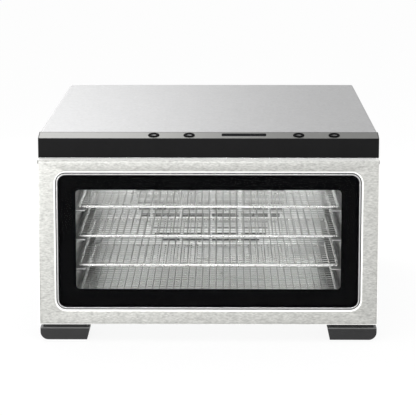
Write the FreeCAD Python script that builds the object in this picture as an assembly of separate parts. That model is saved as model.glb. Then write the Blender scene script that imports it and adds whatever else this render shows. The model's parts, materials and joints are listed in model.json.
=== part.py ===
import FreeCAD, Part
import math
import os

# Countertop food dehydrator: a steel cabinet on four feet, a drop-down glass door, four wire
# trays on side rails, and a fan and ring heater behind a slotted rear wall.
# Millimetres. Origin at the centre of the footprint on the table; +Z up, the door faces -Y.

os.makedirs("parts", exist_ok=True)

# ---- overall ----
overall_width = 340.0
overall_depth = 450.0
overall_height = 209.0
foot_height = 19.0

# ---- sheets and general clearances ----
cover_sheet = 1.0
base_sheet = 1.2
frame_sheet = 1.0
liner_sheet = 0.8
rail_sheet = 1.0
fit_gap = 0.3             # between pieces that slide or swing past each other
running_gap = 0.06        # radial, a turning pin in its hole
cover_corner_radius = 3.0
cover_flange_width = 10.0
base_flange_height = 7.0

# ---- door ----
control_band_height = 23.4
door_thickness = 14.0
door_sheet = 1.0
door_body_gap = 2.0
door_drop = 0.7           # the door reaches this far below the cabinet
door_edge_radius = 2.4
door_back_plate = 3.0
door_lower_cutback = 4.0

# ---- glass and its trim ring ----
glass_side_margin = 20.0  # from the door's edge
glass_bottom_margin = 17.9
glass_top_margin = 15.2
glass_corner_radius = 8.0
glass_thickness = 4.0
glass_border_thickness = 0.3
window_side_margin = 17.5 # from the glass's edge
window_bottom_margin = 17.9
window_top_margin = 15.5
window_corner_radius = 4.0
trim_lip_width = 1.5
trim_lip_thickness = 0.6
trim_wall = 0.7
trim_ledge_width = 4.0
trim_ledge_thickness = 1.2
trim_groove = 0.9         # from the ring's lip to the foot of the recess's slope
recess_slope_width = 2.0
recess_depth = 1.3

# ---- door back, gasket, catch ----
back_window_margin = 4.0
retainer_wall = 5.0
gasket_width = 4.0
gasket_opening_margin = 0.5
magnet_width = 20.0
magnet_height = 7.0
magnet_thickness = 4.0
magnet_inset = 15.0
magnet_top_gap = 1.5
strike_thickness = 1.3

# ---- hinge ----
hinge_axis_depth = 6.4    # behind the door's front face
hinge_axis_rise = 6.7     # above the door's lower edge
hinge_inset = 19.0        # from the cabinet's side to the arm's middle
hinge_arm_thickness = 2.0
hinge_arm_radius = 4.0
hinge_slot_clearance = 1.0
hinge_ear_width = 8.0
hinge_pin_radius = 2.0
hinge_flange_width = 12.0
hinge_flange_thickness = 1.5
hinge_flange_rise = 8.0   # from the pin's height to the flange's lower edge
hinge_flange_height = 14.0

# ---- control band ----
strip_run = 18.0
strip_rise = 4.0
strip_thickness = 1.0
strip_margin = 0.8
fascia_wall = 2.0
controls_centre_x = 35.4
inner_button_offset = 54.8
button_spacing = 35.4
button_radius = 5.5
button_height = 0.9
button_travel = 1.0
button_flange_width = 1.7
button_flange_thickness = 1.2
button_stem_radius = 2.0
button_stem_length = 1.7
display_width = 44.4
display_height = 7.8
display_offset = 1.5      # above the strip's middle line
display_corner_radius = 1.2
display_ledge = 1.4
board_depth = 11.0
board_thickness = 1.6
board_width = 206.0
board_height = 13.0
board_post_radius = 2.6
board_stake_radius = 1.1
board_stake_head_radius = 2.0
board_stake_head_height = 1.2
switch_size = 6.0

# ---- cavity ----
cavity_side_space = 34.0  # from the cabinet's side to the cavity's wall
cavity_floor_height = 11.0
cavity_top_space = 13.6   # from the cavity's ceiling to the door's top
cavity_mouth_radius = 8.0
fan_chamber_depth = 47.0
motor_space_depth = 93.2
support_side_gap = 12.0
support_width = 24.0
support_inset = 72.0      # from the mouth and from the slotted wall

# ---- trays and rails ----
tray_count = 4
tray_pitch = 29.9
lowest_tray_height = 14.0
tray_side_gap = 4.0
tray_front_gap = 10.0
tray_back_gap = 16.0
tray_corner_radius = 5.0
tray_rod = 3.0
tray_wire = 1.5
tray_wire_spacing = 7.35
tray_cross_spacing = 42.0
rail_reach = 12.0
rail_height = 8.0
rail_end_gap = 2.0

# ---- slotted rear wall of the cavity ----
slot_rows = 18
slot_pitch = 7.25
slot_height = 3.4
slot_columns = 6
slot_column_pitch = 33.6
slot_column_gap = 3.4
slot_oval_half_width = 84.6
slot_oval_half_height = 72.4
shortest_slot = 5.0
grille_flange = 8.0

# ---- fan, motor and heater ----
fan_front_gap = 11.0
fan_radius = 56.0
fan_depth = 20.0
fan_blades = 6
fan_blade_thickness = 1.0
fan_blade_chord = 32.0
fan_blade_angle = 36.0
fan_hub_radius = 14.0
shaft_radius = 3.0
shaft_nose = 4.0
motor_width = 60.0
motor_core_depth = 18.0
motor_core_below = 20.0
motor_core_above = 40.0
motor_stand = 10.0
rotor_radius = 12.5
rotor_gap = 0.5
coil_bar_height = 14.0
coil_wall = 8.0
coil_half_width = 13.0
bracket_plate = 2.0
bracket_half_height = 10.0
bracket_leg = 8.0
bush_radius = 5.0
bush_length = 7.0
bush_boss_radius = 7.0
motor_screw_radius = 2.0
motor_screw_inset = 4.0
screw_head_radius = 3.6
screw_head_height = 2.0
heater_radius = 65.0
heater_tube_radius = 3.25
heater_gap_angle = 40.0
heater_bend = 8.0
heater_tail = 12.0
heater_clip_thickness = 2.0
heater_clip_width = 12.0
intake_radius = 30.0
intake_hole_radius = 5.0
intake_holes = 12
cutout_radius = 8.0
cutout_height = 9.0
cutout_flange_reach = 5.0
cutout_flange_width = 8.0
cutout_flange_thickness = 1.0
cutout_tab_inner = 2.0
cutout_tab_width = 4.0
cutout_tab_thickness = 0.8
cutout_tab_height = 6.0
probe_radius = 2.0
probe_length = 12.0
probe_tail = 4.0
probe_collar_radius = 4.0
probe_collar_width = 1.5
probe_side_gap = 32.0     # from the cavity's right wall
probe_drop = 14.0

# ---- rear panel, inlet, power board ----
inlet_side_inset = 58.0   # from the cabinet's right side to the inlet's middle
inlet_rise = 33.0         # from the cabinet's underside to the inlet's middle
inlet_body_width = 27.4
inlet_body_height = 19.8
inlet_body_depth = 18.0
inlet_wall = 1.5
inlet_flange_width = 50.0
inlet_flange_height = 24.0
inlet_flange_thickness = 2.0
inlet_pin_width = 2.0
inlet_pin_height = 4.0
inlet_pin_reach = 12.0
inlet_pin_pitch = 7.0
vent_radius = 58.0
vent_slot_width = 3.0
vent_slot_pitch = 8.0
rear_screw_radius = 1.8
power_board_width = 92.0
power_board_depth = 66.0
power_board_thickness = 1.6
power_board_inset = 14.0
power_board_stand = 10.0
power_post_radius = 3.0
power_post_inset = 5.0
board_part_margin = 8.0
relay_width = 19.0
relay_depth = 16.0
relay_height = 16.0
transformer_width = 32.0
transformer_depth = 28.0
transformer_height = 24.0
terminal_width = 34.0
terminal_depth = 10.0
terminal_height = 11.0
capacitor_radius = 6.5
capacitor_height = 20.0

# ---- feet ----
foot_width = 50.0
foot_depth = 46.0
foot_slant = 2.8
foot_corner_radius = 8.0
foot_neck_height = 6.3
foot_neck_inset = 3.0
foot_overhang = 3.0       # the foot's front stands this far in front of the cabinet
foot_screw_radius = 2.0
foot_screw_head_radius = 4.0
foot_screw_head_height = 3.0
foot_screw_recess = 5.0

# ---- wiring ----
harness_radius = 2.5
harness_bend = 16.0
grommet_wall = 2.0
plug_width = 8.0
plug_depth = 7.0
plug_height = 5.0
plug_inset = 6.0          # from the control board's left end to the plug's middle
power_socket_x = 21.0     # on the power board, from its left edge
power_socket_y = 13.0
power_socket_width = 14.0
power_socket_depth = 10.0
power_socket_height = 9.0

# ---- derived places ----
half_width = overall_width / 2
door_front = -overall_depth / 2
door_back = door_front + door_thickness
body_front = door_back + door_body_gap
frame_back = body_front + frame_sheet
inlet_x = half_width - inlet_side_inset
inlet_height = foot_height + inlet_rise
rear_face = overall_depth / 2 - inlet_flange_thickness
rear_inner = rear_face - cover_sheet
body_bottom = foot_height
body_top = overall_height
base_top = body_bottom + base_sheet
door_bottom = body_bottom - door_drop
door_top = body_top - control_band_height
glass_half = half_width - glass_side_margin
glass_bottom = door_bottom + glass_bottom_margin
glass_top = door_top - glass_top_margin
window_half = glass_half - window_side_margin
window_bottom = glass_bottom + window_bottom_margin
window_top = glass_top - window_top_margin
hinge_y = door_front + hinge_axis_depth
hinge_z = door_bottom + hinge_axis_rise
strip_low = body_top - strip_rise
strip_back = body_front + strip_run
strip_angle = math.degrees(math.atan2(strip_rise, strip_run))
strip_length = math.hypot(strip_rise, strip_run)
cover_inner = half_width - cover_sheet
cavity_half = half_width - cavity_side_space
cavity_floor = body_bottom + cavity_floor_height
cavity_ceiling = door_top - cavity_top_space
cavity_height = cavity_ceiling - cavity_floor
cavity_middle = (cavity_floor + cavity_ceiling) / 2
bulkhead_back = rear_inner - motor_space_depth
bulkhead_front = bulkhead_back - frame_sheet
grille_back = bulkhead_front - fan_chamber_depth
grille_front = grille_back - liner_sheet
fan_front = grille_back + fan_front_gap
core_front = bulkhead_back + motor_stand
core_back = core_front + motor_core_depth
motor_back = core_back + motor_stand
probe_x = cavity_half - probe_side_gap
tray_half = cavity_half - tray_side_gap
tray_front = frame_back + tray_front_gap
tray_back = grille_front - tray_back_gap
heater_y = fan_front + fan_depth / 2
button_places = [controls_centre_x + side * (inner_button_offset + step * button_spacing)
                 for side, step in ((-1, 1), (-1, 0), (1, 0), (1, 1))]
tray_heights = [cavity_floor + lowest_tray_height + tray_pitch * level for level in range(tray_count)]


# ---- shape helpers ----
def block(x0, x1, y0, y1, z0, z1):
    """Box between two corners."""
    return Part.makeBox(x1 - x0, y1 - y0, z1 - z0, FreeCAD.Vector(x0, y0, z0))


def mirrored_blocks(x0, x1, y0, y1, z0, z1):
    """Two boxes, the given one on the right and its mirror image on the left."""
    return [block(x0, x1, y0, y1, z0, z1), block(-x1, -x0, y0, y1, z0, z1)]


def rod(radius, start, end):
    """Round bar from one point to another."""
    a = FreeCAD.Vector(*start)
    b = FreeCAD.Vector(*end)
    return Part.makeCylinder(radius, (b - a).Length, a, b - a)


def bent_bar(radius, start, centre, axis, angle):
    """Round bar bent about an axis through centre, from start on by an angle in degrees."""
    ring = Part.Wire([Part.makeCircle(radius, start, axis.cross(start - centre))])
    return Part.Face(ring).revolve(centre, axis, angle)


def fused(shapes):
    """One solid from pieces that touch or overlap, without leftover seams."""
    whole = shapes[0].multiFuse(shapes[1:])
    return whole.removeSplitter()


def group(shapes):
    """Separate solids kept in one node."""
    return Part.makeCompound(shapes)


def upright_outline(half_x, z0, z1, radius, y):
    """Rounded rectangle in the plane y, as a closed wire."""
    corners = [(half_x, z0), (half_x, z1), (-half_x, z1), (-half_x, z0)]
    turns = [(0, 1), (-1, 0), (0, -1), (1, 0)]
    edges = []
    for i, (cx, cz) in enumerate(corners):
        tx, tz = turns[i]
        px, pz = turns[i - 1]
        nx, nz = corners[(i + 1) % 4]
        start = FreeCAD.Vector(cx - px * radius, y, cz - pz * radius)
        end = FreeCAD.Vector(cx + tx * radius, y, cz + tz * radius)
        inset = radius * (1 - math.sqrt(0.5))
        middle = FreeCAD.Vector(cx + (tx - px) * inset, y, cz + (tz - pz) * inset)
        edges.append(Part.Arc(start, middle, end).toShape())
        edges.append(Part.makeLine(end, FreeCAD.Vector(nx - tx * radius, y, nz - tz * radius)))
    return Part.Wire(edges)


def panel(half_x, z0, z1, radius, y0, y1):
    """Upright rounded rectangular plate from y0 to y1."""
    face = Part.Face(upright_outline(half_x, z0, z1, radius, y0))
    return face.extrude(FreeCAD.Vector(0, y1 - y0, 0))


def frame_panel(outer, inner, y0, y1):
    """Plate with a rounded opening; outer and inner are (half_x, z0, z1, radius)."""
    return panel(*outer, y0, y1).cut(panel(*inner, y0 - 1, y1 + 1))


def pierced_face(outer, holes):
    """Flat face with openings, from closed wires that all run the same way round."""
    turned = []
    for hole in holes:
        corners = [vertex.Point for vertex in hole.OrderedVertexes]
        turned.append(Part.makePolygon(corners[::-1] + corners[-1:]))
    return Part.Face([outer] + turned)


def grown(outline, amount):
    """The rounded rectangle moved outwards by an amount (inwards when it is negative)."""
    half_x, z0, z1, radius = outline
    return (half_x + amount, z0 - amount, z1 + amount, max(radius + amount, 0.5))


def side_profile(points, x0, x1):
    """Prism along X from a closed outline of (y, z) points."""
    corners = [FreeCAD.Vector(x0, y, z) for y, z in points]
    face = Part.Face(Part.makePolygon(corners + corners[:1]))
    return face.extrude(FreeCAD.Vector(x1 - x0, 0, 0))


def on_strip(shape):
    """Moves a piece drawn flat (y up the slope, z out of it) onto the sloping control strip."""
    placed = shape.copy()
    placed.rotate(FreeCAD.Vector(0, 0, 0), FreeCAD.Vector(1, 0, 0), strip_angle)
    placed.translate(FreeCAD.Vector(0, body_front, strip_low))
    return placed


def save(name, shape):
    """Writes one node."""
    shape.exportStep("parts/%s.step" % name)


# ---- outlines shared by the door's pieces ----
glass_outline = (glass_half, glass_bottom, glass_top, glass_corner_radius)
window_outline = (window_half, window_bottom, window_top, window_corner_radius)
trim_outline = grown(glass_outline, trim_lip_width)
recess_outline = grown(trim_outline, trim_groove)
cavity_outline = (cavity_half, cavity_floor, cavity_ceiling, cavity_mouth_radius)
trim_body_outline = grown(glass_outline, trim_wall)
glass_front = door_front + recess_depth - trim_lip_thickness + fit_gap
ledge_front = glass_front + glass_thickness + glass_border_thickness
ledge_back = ledge_front + trim_ledge_thickness
back_plate_front = door_back - door_back_plate


# ---- cabinet ----
def outer_cover():
    """Top and sides folded from one sheet, with a flange inwards at the rear."""
    radius = cover_corner_radius
    outer = block(-half_width, half_width, frame_back, rear_inner, body_bottom, body_top)
    outer = outer.makeFillet(radius, [e for e in outer.Edges if is_top_side_edge(e)])
    inner = block(-cover_inner, cover_inner, frame_back - 1, rear_inner - cover_sheet,
                  body_bottom - 1, body_top - cover_sheet)
    bend = max(radius - cover_sheet, 0.2)
    inner = inner.makeFillet(bend, [e for e in inner.Edges if is_top_side_edge(e)])
    mouth = cover_inner - cover_flange_width
    rear_mouth = block(-mouth, mouth, rear_inner - 2 * cover_sheet, rear_inner + 1,
                       body_bottom - 1, body_top - cover_sheet - cover_flange_width)
    corner = base_top + base_flange_height + fit_gap
    below_flange = block(-cover_inner, cover_inner, rear_inner - 2 * cover_sheet, rear_inner + 1,
                         body_bottom - 1, corner + cover_flange_width)
    control_space = block(-half_width - 1, half_width + 1, frame_back - 1, strip_back,
                          door_top, body_top + 1)
    cover = outer.cut(inner).cut(rear_mouth).cut(below_flange).cut(control_space)
    for place in rear_screw_places():
        cover = cover.cut(rear_screw_hole(place, rear_screw_radius))
    return cover


def is_top_side_edge(edge):
    """True for a box's upper edges that run front to back."""
    a, b = (vertex.Point for vertex in edge.Vertexes)
    along_y = abs(a.x - b.x) < 0.01 and abs(a.z - b.z) < 0.01
    return along_y and a.z > body_top / 2


def base_plate():
    """Bottom sheet with low side flanges and a rear flange for the rear panel."""
    floor = block(-cover_inner, cover_inner, frame_back, rear_inner, body_bottom, base_top)
    sides = mirrored_blocks(cover_inner - base_sheet, cover_inner, frame_back, rear_inner,
                            body_bottom, base_top + base_flange_height)
    rear_top = base_top + base_flange_height + cover_flange_width
    rear = block(-cover_inner, cover_inner, rear_inner - base_sheet, rear_inner, body_bottom, rear_top)
    plate = fused([floor, rear] + sides + power_board_posts())
    for x, y in foot_screw_places():
        plate = plate.cut(rod(foot_screw_radius, (x, y, body_bottom - 1), (x, y, base_top + 1)))
    for column in range(-4, 5):
        x = column * 2 * vent_slot_pitch
        y = (bulkhead_back + rear_inner) / 2
        plate = plate.cut(block(x - vent_slot_width / 2, x + vent_slot_width / 2, y - vent_slot_pitch,
                                y + vent_slot_pitch, body_bottom - 1, base_top + 1))
    for place in rear_screw_places():
        plate = plate.cut(rear_screw_hole(place, rear_screw_radius))
    return plate


def front_frame():
    """Steel face round the cavity's mouth, with flanges back along the cover's sides."""
    outer = panel(half_width, body_bottom, door_top, 1.0, body_front, frame_back)
    plate = outer.cut(panel(*cavity_outline, body_front - 1, frame_back + 1))
    flange_low = base_top + base_flange_height + cover_flange_width
    flanges = mirrored_blocks(cover_inner - frame_sheet, cover_inner, body_front,
                              frame_back + cover_flange_width, flange_low, door_top - cover_flange_width)
    return fused([plate] + flanges)


def rear_panel():
    """Rear sheet with the motor's vent slots and the cut-out for the mains inlet."""
    sheet = panel(half_width, body_bottom, body_top, cover_corner_radius, rear_inner, rear_face)
    rows = int(vent_radius // vent_slot_pitch)
    for row in range(-rows, rows + 1):
        z = cavity_middle + row * vent_slot_pitch
        reach = math.sqrt(vent_radius ** 2 - (row * vent_slot_pitch) ** 2) - vent_slot_width
        for x0, x1 in ((-reach, -vent_slot_width), (vent_slot_width, reach)):
            if x1 - x0 > shortest_slot:
                sheet = sheet.cut(block(x0, x1, rear_inner - 1, rear_face + 1,
                                        z - vent_slot_width / 2, z + vent_slot_width / 2))
    half_x = inlet_body_width / 2 + fit_gap
    half_z = inlet_body_height / 2 + fit_gap
    sheet = sheet.cut(block(inlet_x - half_x, inlet_x + half_x, rear_inner - 1, rear_face + 1,
                            inlet_height - half_z, inlet_height + half_z))
    for place in rear_screw_places():
        sheet = sheet.cut(rear_screw_hole(place, rear_screw_radius + fit_gap))
    for x, z in inlet_screw_places():
        sheet = sheet.cut(rear_screw_hole((x, z), rear_screw_radius))
    return sheet


def rear_screw_places():
    """Screws round the rear panel, in the middle of the cover's and the base's flanges."""
    x = cover_inner - cover_flange_width / 2
    top = body_top - cover_sheet - cover_flange_width / 2
    low = base_top + base_flange_height + cover_flange_width / 2
    places = [(x * side, z) for side in (-1, 1) for z in (low, cavity_middle)]
    places += [(x * step, top) for step in (-0.9, 0, 0.9)]
    return places


def rear_screw_hole(place, radius):
    """Cutter for one rear screw's shank."""
    x, z = place
    return rod(radius, (x, rear_face - 4 * cover_sheet, z), (x, rear_face + 1, z))


def pan_screw(x, z, face, shank, radius):
    """Pan-head screw driven forwards from a rear face."""
    head = rod(screw_head_radius, (x, face, z), (x, face + screw_head_height, z))
    edge = [e for e in head.Edges if abs(e.BoundBox.YMin - face - screw_head_height) < 0.01
            and e.BoundBox.YLength < 0.01]
    head = head.makeFillet(screw_head_height / 2, edge)
    return fused([head, rod(radius, (x, face - shank, z), (x, face, z))])


def inlet_screw_places():
    """The two screws in the inlet's flange."""
    x = (inlet_body_width + inlet_flange_width) / 4
    return [(inlet_x + x * side, inlet_height) for side in (-1, 1)]


# ---- feet ----
def foot_screw_places():
    """Middle of each foot, seen from above."""
    x = half_width - foot_width / 2
    y0 = body_front - foot_overhang + foot_depth / 2
    y1 = rear_face - foot_depth / 2
    return [(-x, y0), (x, y0), (-x, y1), (x, y1)]


def foot(place):
    """Moulded foot: rounded outer corner, slanted inner side and a narrower neck."""
    x, y = place
    side = 1 if x > 0 else -1
    body_height = foot_height - foot_neck_height
    outer = side * half_width
    inner = side * (half_width - foot_width)
    y0 = y - foot_depth / 2
    radius = min(foot_corner_radius, body_height - 1)
    bend = radius * (1 - math.sqrt(0.5))
    points = [(outer, body_height), (inner, body_height), (inner + side * foot_slant, 0),
              (outer - side * radius, 0)]
    corners = [FreeCAD.Vector(px, y0, pz) for px, pz in points]
    arc_end = FreeCAD.Vector(outer, y0, radius)
    middle = FreeCAD.Vector(outer - side * bend, y0, bend)
    edges = [Part.makeLine(corners[i], corners[i + 1]) for i in range(3)]
    edges.append(Part.Arc(corners[3], middle, arc_end).toShape())
    edges.append(Part.makeLine(arc_end, corners[0]))
    body = Part.Face(Part.Wire(edges)).extrude(FreeCAD.Vector(0, foot_depth, 0))
    x0, x1 = sorted((outer - side * foot_neck_inset, inner + side * foot_neck_inset))
    neck = block(x0, x1, y0 + foot_neck_inset, y0 + foot_depth - foot_neck_inset, body_height,
                 foot_height)
    moulding = fused([body, neck])
    recess = rod(foot_screw_head_radius + fit_gap, (x, y, -1), (x, y, foot_screw_recess
                                                               + foot_screw_head_height))
    hole = rod(foot_screw_radius, (x, y, 0), (x, y, foot_height + 1))
    return moulding.cut(recess).cut(hole)


def foot_screw(place):
    """Screw from below through the foot into the base."""
    x, y = place
    seat = foot_screw_recess + foot_screw_head_height
    head = rod(foot_screw_head_radius, (x, y, foot_screw_recess), (x, y, seat))
    shank = rod(foot_screw_radius, (x, y, seat), (x, y, base_top + base_sheet))
    return fused([head, shank])


# ---- control band ----
def control_fascia():
    """Black moulded band across the front, with the sloping seat of the control strip."""
    outline = [(body_front, door_top), (body_front, strip_low), (strip_back, body_top),
               (strip_back, door_top)]
    solid = side_profile(outline, -half_width, half_width)
    top = fascia_wall + strip_thickness
    drop = top / math.cos(math.radians(strip_angle))
    inner = [(body_front + fascia_wall, door_top + fascia_wall),
             (body_front + fascia_wall, strip_low + fascia_wall * strip_rise / strip_run - drop),
             (strip_back + 1, body_top + strip_rise / strip_run - drop),
             (strip_back + 1, door_top + fascia_wall)]
    hollow = side_profile(inner, -half_width + fascia_wall, half_width - fascia_wall)
    seat = block(-half_width + strip_margin, half_width - strip_margin, strip_margin,
                 strip_length - strip_margin, -strip_thickness, strip_thickness)
    shell = solid.cut(hollow).cut(on_strip(seat))
    posts = [board_post(x) for x in board_post_places()]
    shell = fused([shell] + posts)
    middle = strip_length / 2
    for x in button_places:
        shell = shell.cut(on_strip(rod(button_radius + fit_gap, (x, middle, -top - 1), (x, middle, 1))))
    x0, x1, v0, v1 = display_place(-display_ledge)
    shell = shell.cut(on_strip(block(x0, x1, v0, v1, -top - 1, 1)))
    return shell


def display_place(growth):
    """The display's edges on the flat strip, moved outwards by growth."""
    half_x = display_width / 2 + growth
    half_v = display_height / 2 + growth
    middle = strip_length / 2 + display_offset
    return (controls_centre_x - half_x, controls_centre_x + half_x, middle - half_v, middle + half_v)


def display_plate(growth, low, high):
    """Plate of the display's rounded outline on the flat strip, moved outwards by growth."""
    x0, x1, v0, v1 = display_place(growth)
    plate = flat_plate((x1 - x0) / 2, v0, v1, display_corner_radius + growth, low, high)
    plate.translate(FreeCAD.Vector(controls_centre_x, 0, 0))
    return plate


def board_post_places():
    """Posts that carry the control board, between the buttons and outside the display."""
    inner = inner_button_offset + button_spacing / 2
    outer = display_width / 2 + 2 * board_post_radius
    return [controls_centre_x + x for x in (-inner, -outer, outer, inner)]


def board_post(x):
    """One post under the fascia's slope, with a stake melted over behind the control board."""
    middle = strip_length / 2
    under = -board_depth - board_thickness
    post = rod(board_post_radius, (x, middle, -board_depth), (x, middle, -strip_thickness
                                                             - fascia_wall / 2))
    head = rod(board_stake_head_radius, (x, middle, under - board_stake_head_height),
               (x, middle, under))
    return on_strip(fused([post, head, board_stake(x)]))


def board_stake(x):
    """The stake through the control board."""
    middle = strip_length / 2
    return rod(board_stake_radius, (x, middle, -board_depth - board_thickness),
               (x, middle, -board_depth))


def control_strip():
    """Brushed strip on the fascia's slope, pierced for four buttons and the display."""
    strip = block(-half_width + strip_margin, half_width - strip_margin, strip_margin,
                  strip_length - strip_margin, -strip_thickness, 0)
    middle = strip_length / 2
    for x in button_places:
        strip = strip.cut(rod(button_radius + fit_gap, (x, middle, -2), (x, middle, 1)))
    return on_strip(strip.cut(display_plate(fit_gap / 2, -2, 1)))


def display_window():
    """Smoked lens flush in the strip, resting on the fascia's ledge."""
    return on_strip(display_plate(0, -strip_thickness, 0))


def button(x):
    """Round push button: cap, retaining flange under the fascia, and stem."""
    middle = strip_length / 2
    under = -strip_thickness - fascia_wall - fit_gap
    flange_low = under - button_flange_thickness
    cap = rod(button_radius, (x, middle, under), (x, middle, button_height))
    rim = [e for e in cap.Edges if e.BoundBox.ZMin > button_height - 0.01]
    cap = cap.makeFillet(button_height / 2, rim)
    flange = rod(button_radius + button_flange_width, (x, middle, flange_low), (x, middle, under))
    stem = rod(button_stem_radius, (x, middle, flange_low - button_stem_length),
               (x, middle, flange_low))
    return on_strip(fused([cap, flange, stem]))


def control_board():
    """Circuit board under the slope, with the harness's plug at its left end."""
    middle = strip_length / 2
    board = block(controls_centre_x - board_width / 2, controls_centre_x + board_width / 2,
                  middle - board_height / 2, middle + board_height / 2,
                  -board_depth - board_thickness, -board_depth)
    for x in board_post_places():
        board = board.cut(board_stake(x))
    x, rear, level = plug_place()
    plug = block(x - plug_width / 2, x + plug_width / 2, rear - plug_depth, rear,
                 -board_depth - board_thickness - plug_height, -board_depth - board_thickness)
    return on_strip(fused([board, plug]))


def plug_place():
    """Where the harness enters the plug under the board, on the flat strip."""
    return (controls_centre_x - board_width / 2 + plug_inset, (strip_length + board_height) / 2,
            -board_depth - board_thickness - plug_height / 2)


def button_switches():
    """Tact switches under the stems, just beyond the buttons' travel."""
    middle = strip_length / 2
    stem_low = (-strip_thickness - fascia_wall - fit_gap - button_flange_thickness
                - button_stem_length)
    top = stem_low - button_travel - fit_gap
    half = switch_size / 2
    switches = []
    for x in button_places:
        body_top_w = -board_depth + (top + board_depth) / 2
        body = block(x - half, x + half, middle - half, middle + half, -board_depth, body_top_w)
        plunger = rod(button_stem_radius - fit_gap, (x, middle, body_top_w), (x, middle, top))
        switches.append(on_strip(fused([body, plunger])))
    return group(switches)


def display_module():
    """Light block of the display, between the board and the ledge."""
    x0, x1, v0, v1 = display_place(-display_ledge - fit_gap)
    return on_strip(block(x0, x1, v0, v1, -board_depth, -strip_thickness - fit_gap))


# ---- door ----
def door_cutback():
    """Cutter that takes off the door's lower rear edge, so that it clears the cabinet."""
    low = door_bottom
    back = door_back
    cut = door_lower_cutback
    return side_profile([(back - cut, low - 1), (back - cut, low), (back, low + cut),
                         (back + 1, low + cut), (back + 1, low - 1)], -half_width - 1, half_width + 1)


def hinge_middles():
    """X of each hinge arm's middle."""
    x = half_width - hinge_inset
    return (-x, x)


def hinge_slots():
    """Cutters for the slots in the door that the hinge arms swing in."""
    half = hinge_arm_thickness / 2 + hinge_slot_clearance
    reach = hinge_arm_radius + hinge_slot_clearance / 2
    return [block(x - half, x + half, hinge_y - reach, door_back + 1, door_bottom - 1, hinge_z + reach)
            for x in hinge_middles()]


def door_skin():
    """Brushed steel front, folded back at its edges, with a pressed recess round the glass."""
    low = door_bottom
    outer = block(-half_width, half_width, door_front, door_back, low, door_top)
    front_edges = [e for e in outer.Edges if e.BoundBox.YMax < door_front + 0.01]
    outer = outer.makeFillet(door_edge_radius, front_edges)
    inset = door_sheet
    inner = block(-half_width + inset, half_width - inset, door_front + inset, door_back + 1,
                  low + inset, door_top - inset)
    rim = grown(recess_outline, recess_slope_width)
    foot_y = door_front + recess_depth
    slope = Part.makeLoft([upright_outline(*rim, door_front), upright_outline(*recess_outline, foot_y)],
                          True)
    pressed = Part.makeLoft([upright_outline(*grown(rim, inset), door_front + inset / 2),
                             upright_outline(*grown(recess_outline, inset), foot_y + inset)], True)
    opening = panel(*recess_outline, door_front - 1, door_back)
    skin = outer.cut(inner)
    skin = skin.fuse(pressed).cut(slope).cut(opening)
    skin = skin.cut(door_cutback())
    for slot in hinge_slots():
        skin = skin.cut(slot)
    return skin.removeSplitter()


def door_trim_ring():
    """Bright ring: a lip round the glass, a wall behind it and a ledge behind the glass."""
    lip = frame_panel(trim_outline, glass_outline, door_front + recess_depth - trim_lip_thickness,
                      door_front + recess_depth)
    wall = frame_panel(trim_body_outline, glass_outline, door_front + recess_depth, ledge_front)
    ledge = frame_panel(trim_body_outline, grown(glass_outline, -trim_ledge_width), ledge_front,
                        ledge_back)
    return fused([lip, wall, ledge])


def door_glass():
    """Clear pane inside the ring."""
    return panel(*grown(glass_outline, -fit_gap), glass_front, glass_front + glass_thickness)


def door_glass_border():
    """Black border behind the pane, round the clear window."""
    return frame_panel(grown(glass_outline, -fit_gap), window_outline, glass_front + glass_thickness,
                       ledge_front)


def door_back_frame():
    """Inner moulding: closes the door, seats and clamps the ring, carries the hinge pins."""
    edge = door_sheet + fit_gap
    plate_outline = (half_width - edge, door_bottom + edge, door_top - edge, 1.0)
    plate = frame_panel(plate_outline, grown(window_outline, back_window_margin), back_plate_front,
                        door_back)
    collar_outline = grown(recess_outline, -fit_gap)
    collar = frame_panel(collar_outline, grown(trim_body_outline, fit_gap), door_front + recess_depth,
                         ledge_back)
    retainer = frame_panel(collar_outline, grown(trim_body_outline, -retainer_wall), ledge_back,
                           back_plate_front)
    pieces = [plate, collar, retainer]
    ear_top = hinge_z + hinge_arm_radius + hinge_slot_clearance / 2
    slot_half = hinge_arm_thickness / 2 + hinge_slot_clearance
    for x in hinge_middles():
        pieces.append(block(x - slot_half - hinge_ear_width, x + slot_half + hinge_ear_width,
                            door_front + door_sheet + fit_gap, back_plate_front,
                            door_bottom + edge, ear_top))
    frame = fused(pieces).cut(door_cutback())
    for slot in hinge_slots():
        frame = frame.cut(slot)
    for x in hinge_middles():
        frame = frame.cut(hinge_pin(x))
    for pocket in magnet_blocks():
        frame = frame.cut(pocket)
    return frame


def hinge_pin(x):
    """Steel pin through both ears and the arm between them."""
    reach = hinge_arm_thickness / 2 + hinge_slot_clearance + hinge_ear_width
    return rod(hinge_pin_radius, (x - reach, hinge_y, hinge_z), (x + reach, hinge_y, hinge_z))


def hinge_arm(x):
    """Bracket on the cabinet's face: a flange and an arm forward to the pin."""
    side = 1 if x > 0 else -1
    half = hinge_arm_thickness / 2
    flange_front = body_front - hinge_flange_thickness
    flange_low = hinge_z + hinge_flange_rise
    flange_top = flange_low + hinge_flange_height
    eye = rod(hinge_arm_radius, (x - half, hinge_y, hinge_z), (x + half, hinge_y, hinge_z))
    bar = block(x - half, x + half, hinge_y, body_front, hinge_z - hinge_arm_radius,
                hinge_z + hinge_arm_radius)
    riser = block(x - half, x + half, flange_front, body_front, hinge_z, flange_top)
    x0, x1 = sorted((x - side * half, x + side * (half + hinge_flange_width)))
    flange = block(x0, x1, flange_front, body_front, flange_low, flange_top)
    hole = rod(hinge_pin_radius + running_gap, (x - half - 1, hinge_y, hinge_z),
               (x + half + 1, hinge_y, hinge_z))
    return fused([eye, bar, riser, flange]).cut(hole)


def magnet_blocks():
    """Two magnets in the door's upper corners, flush with its back."""
    outer = half_width - magnet_inset + magnet_width / 2
    top = door_top - magnet_top_gap - door_sheet
    return mirrored_blocks(outer - magnet_width, outer, door_back - magnet_thickness, door_back,
                           top - magnet_height, top)


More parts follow.
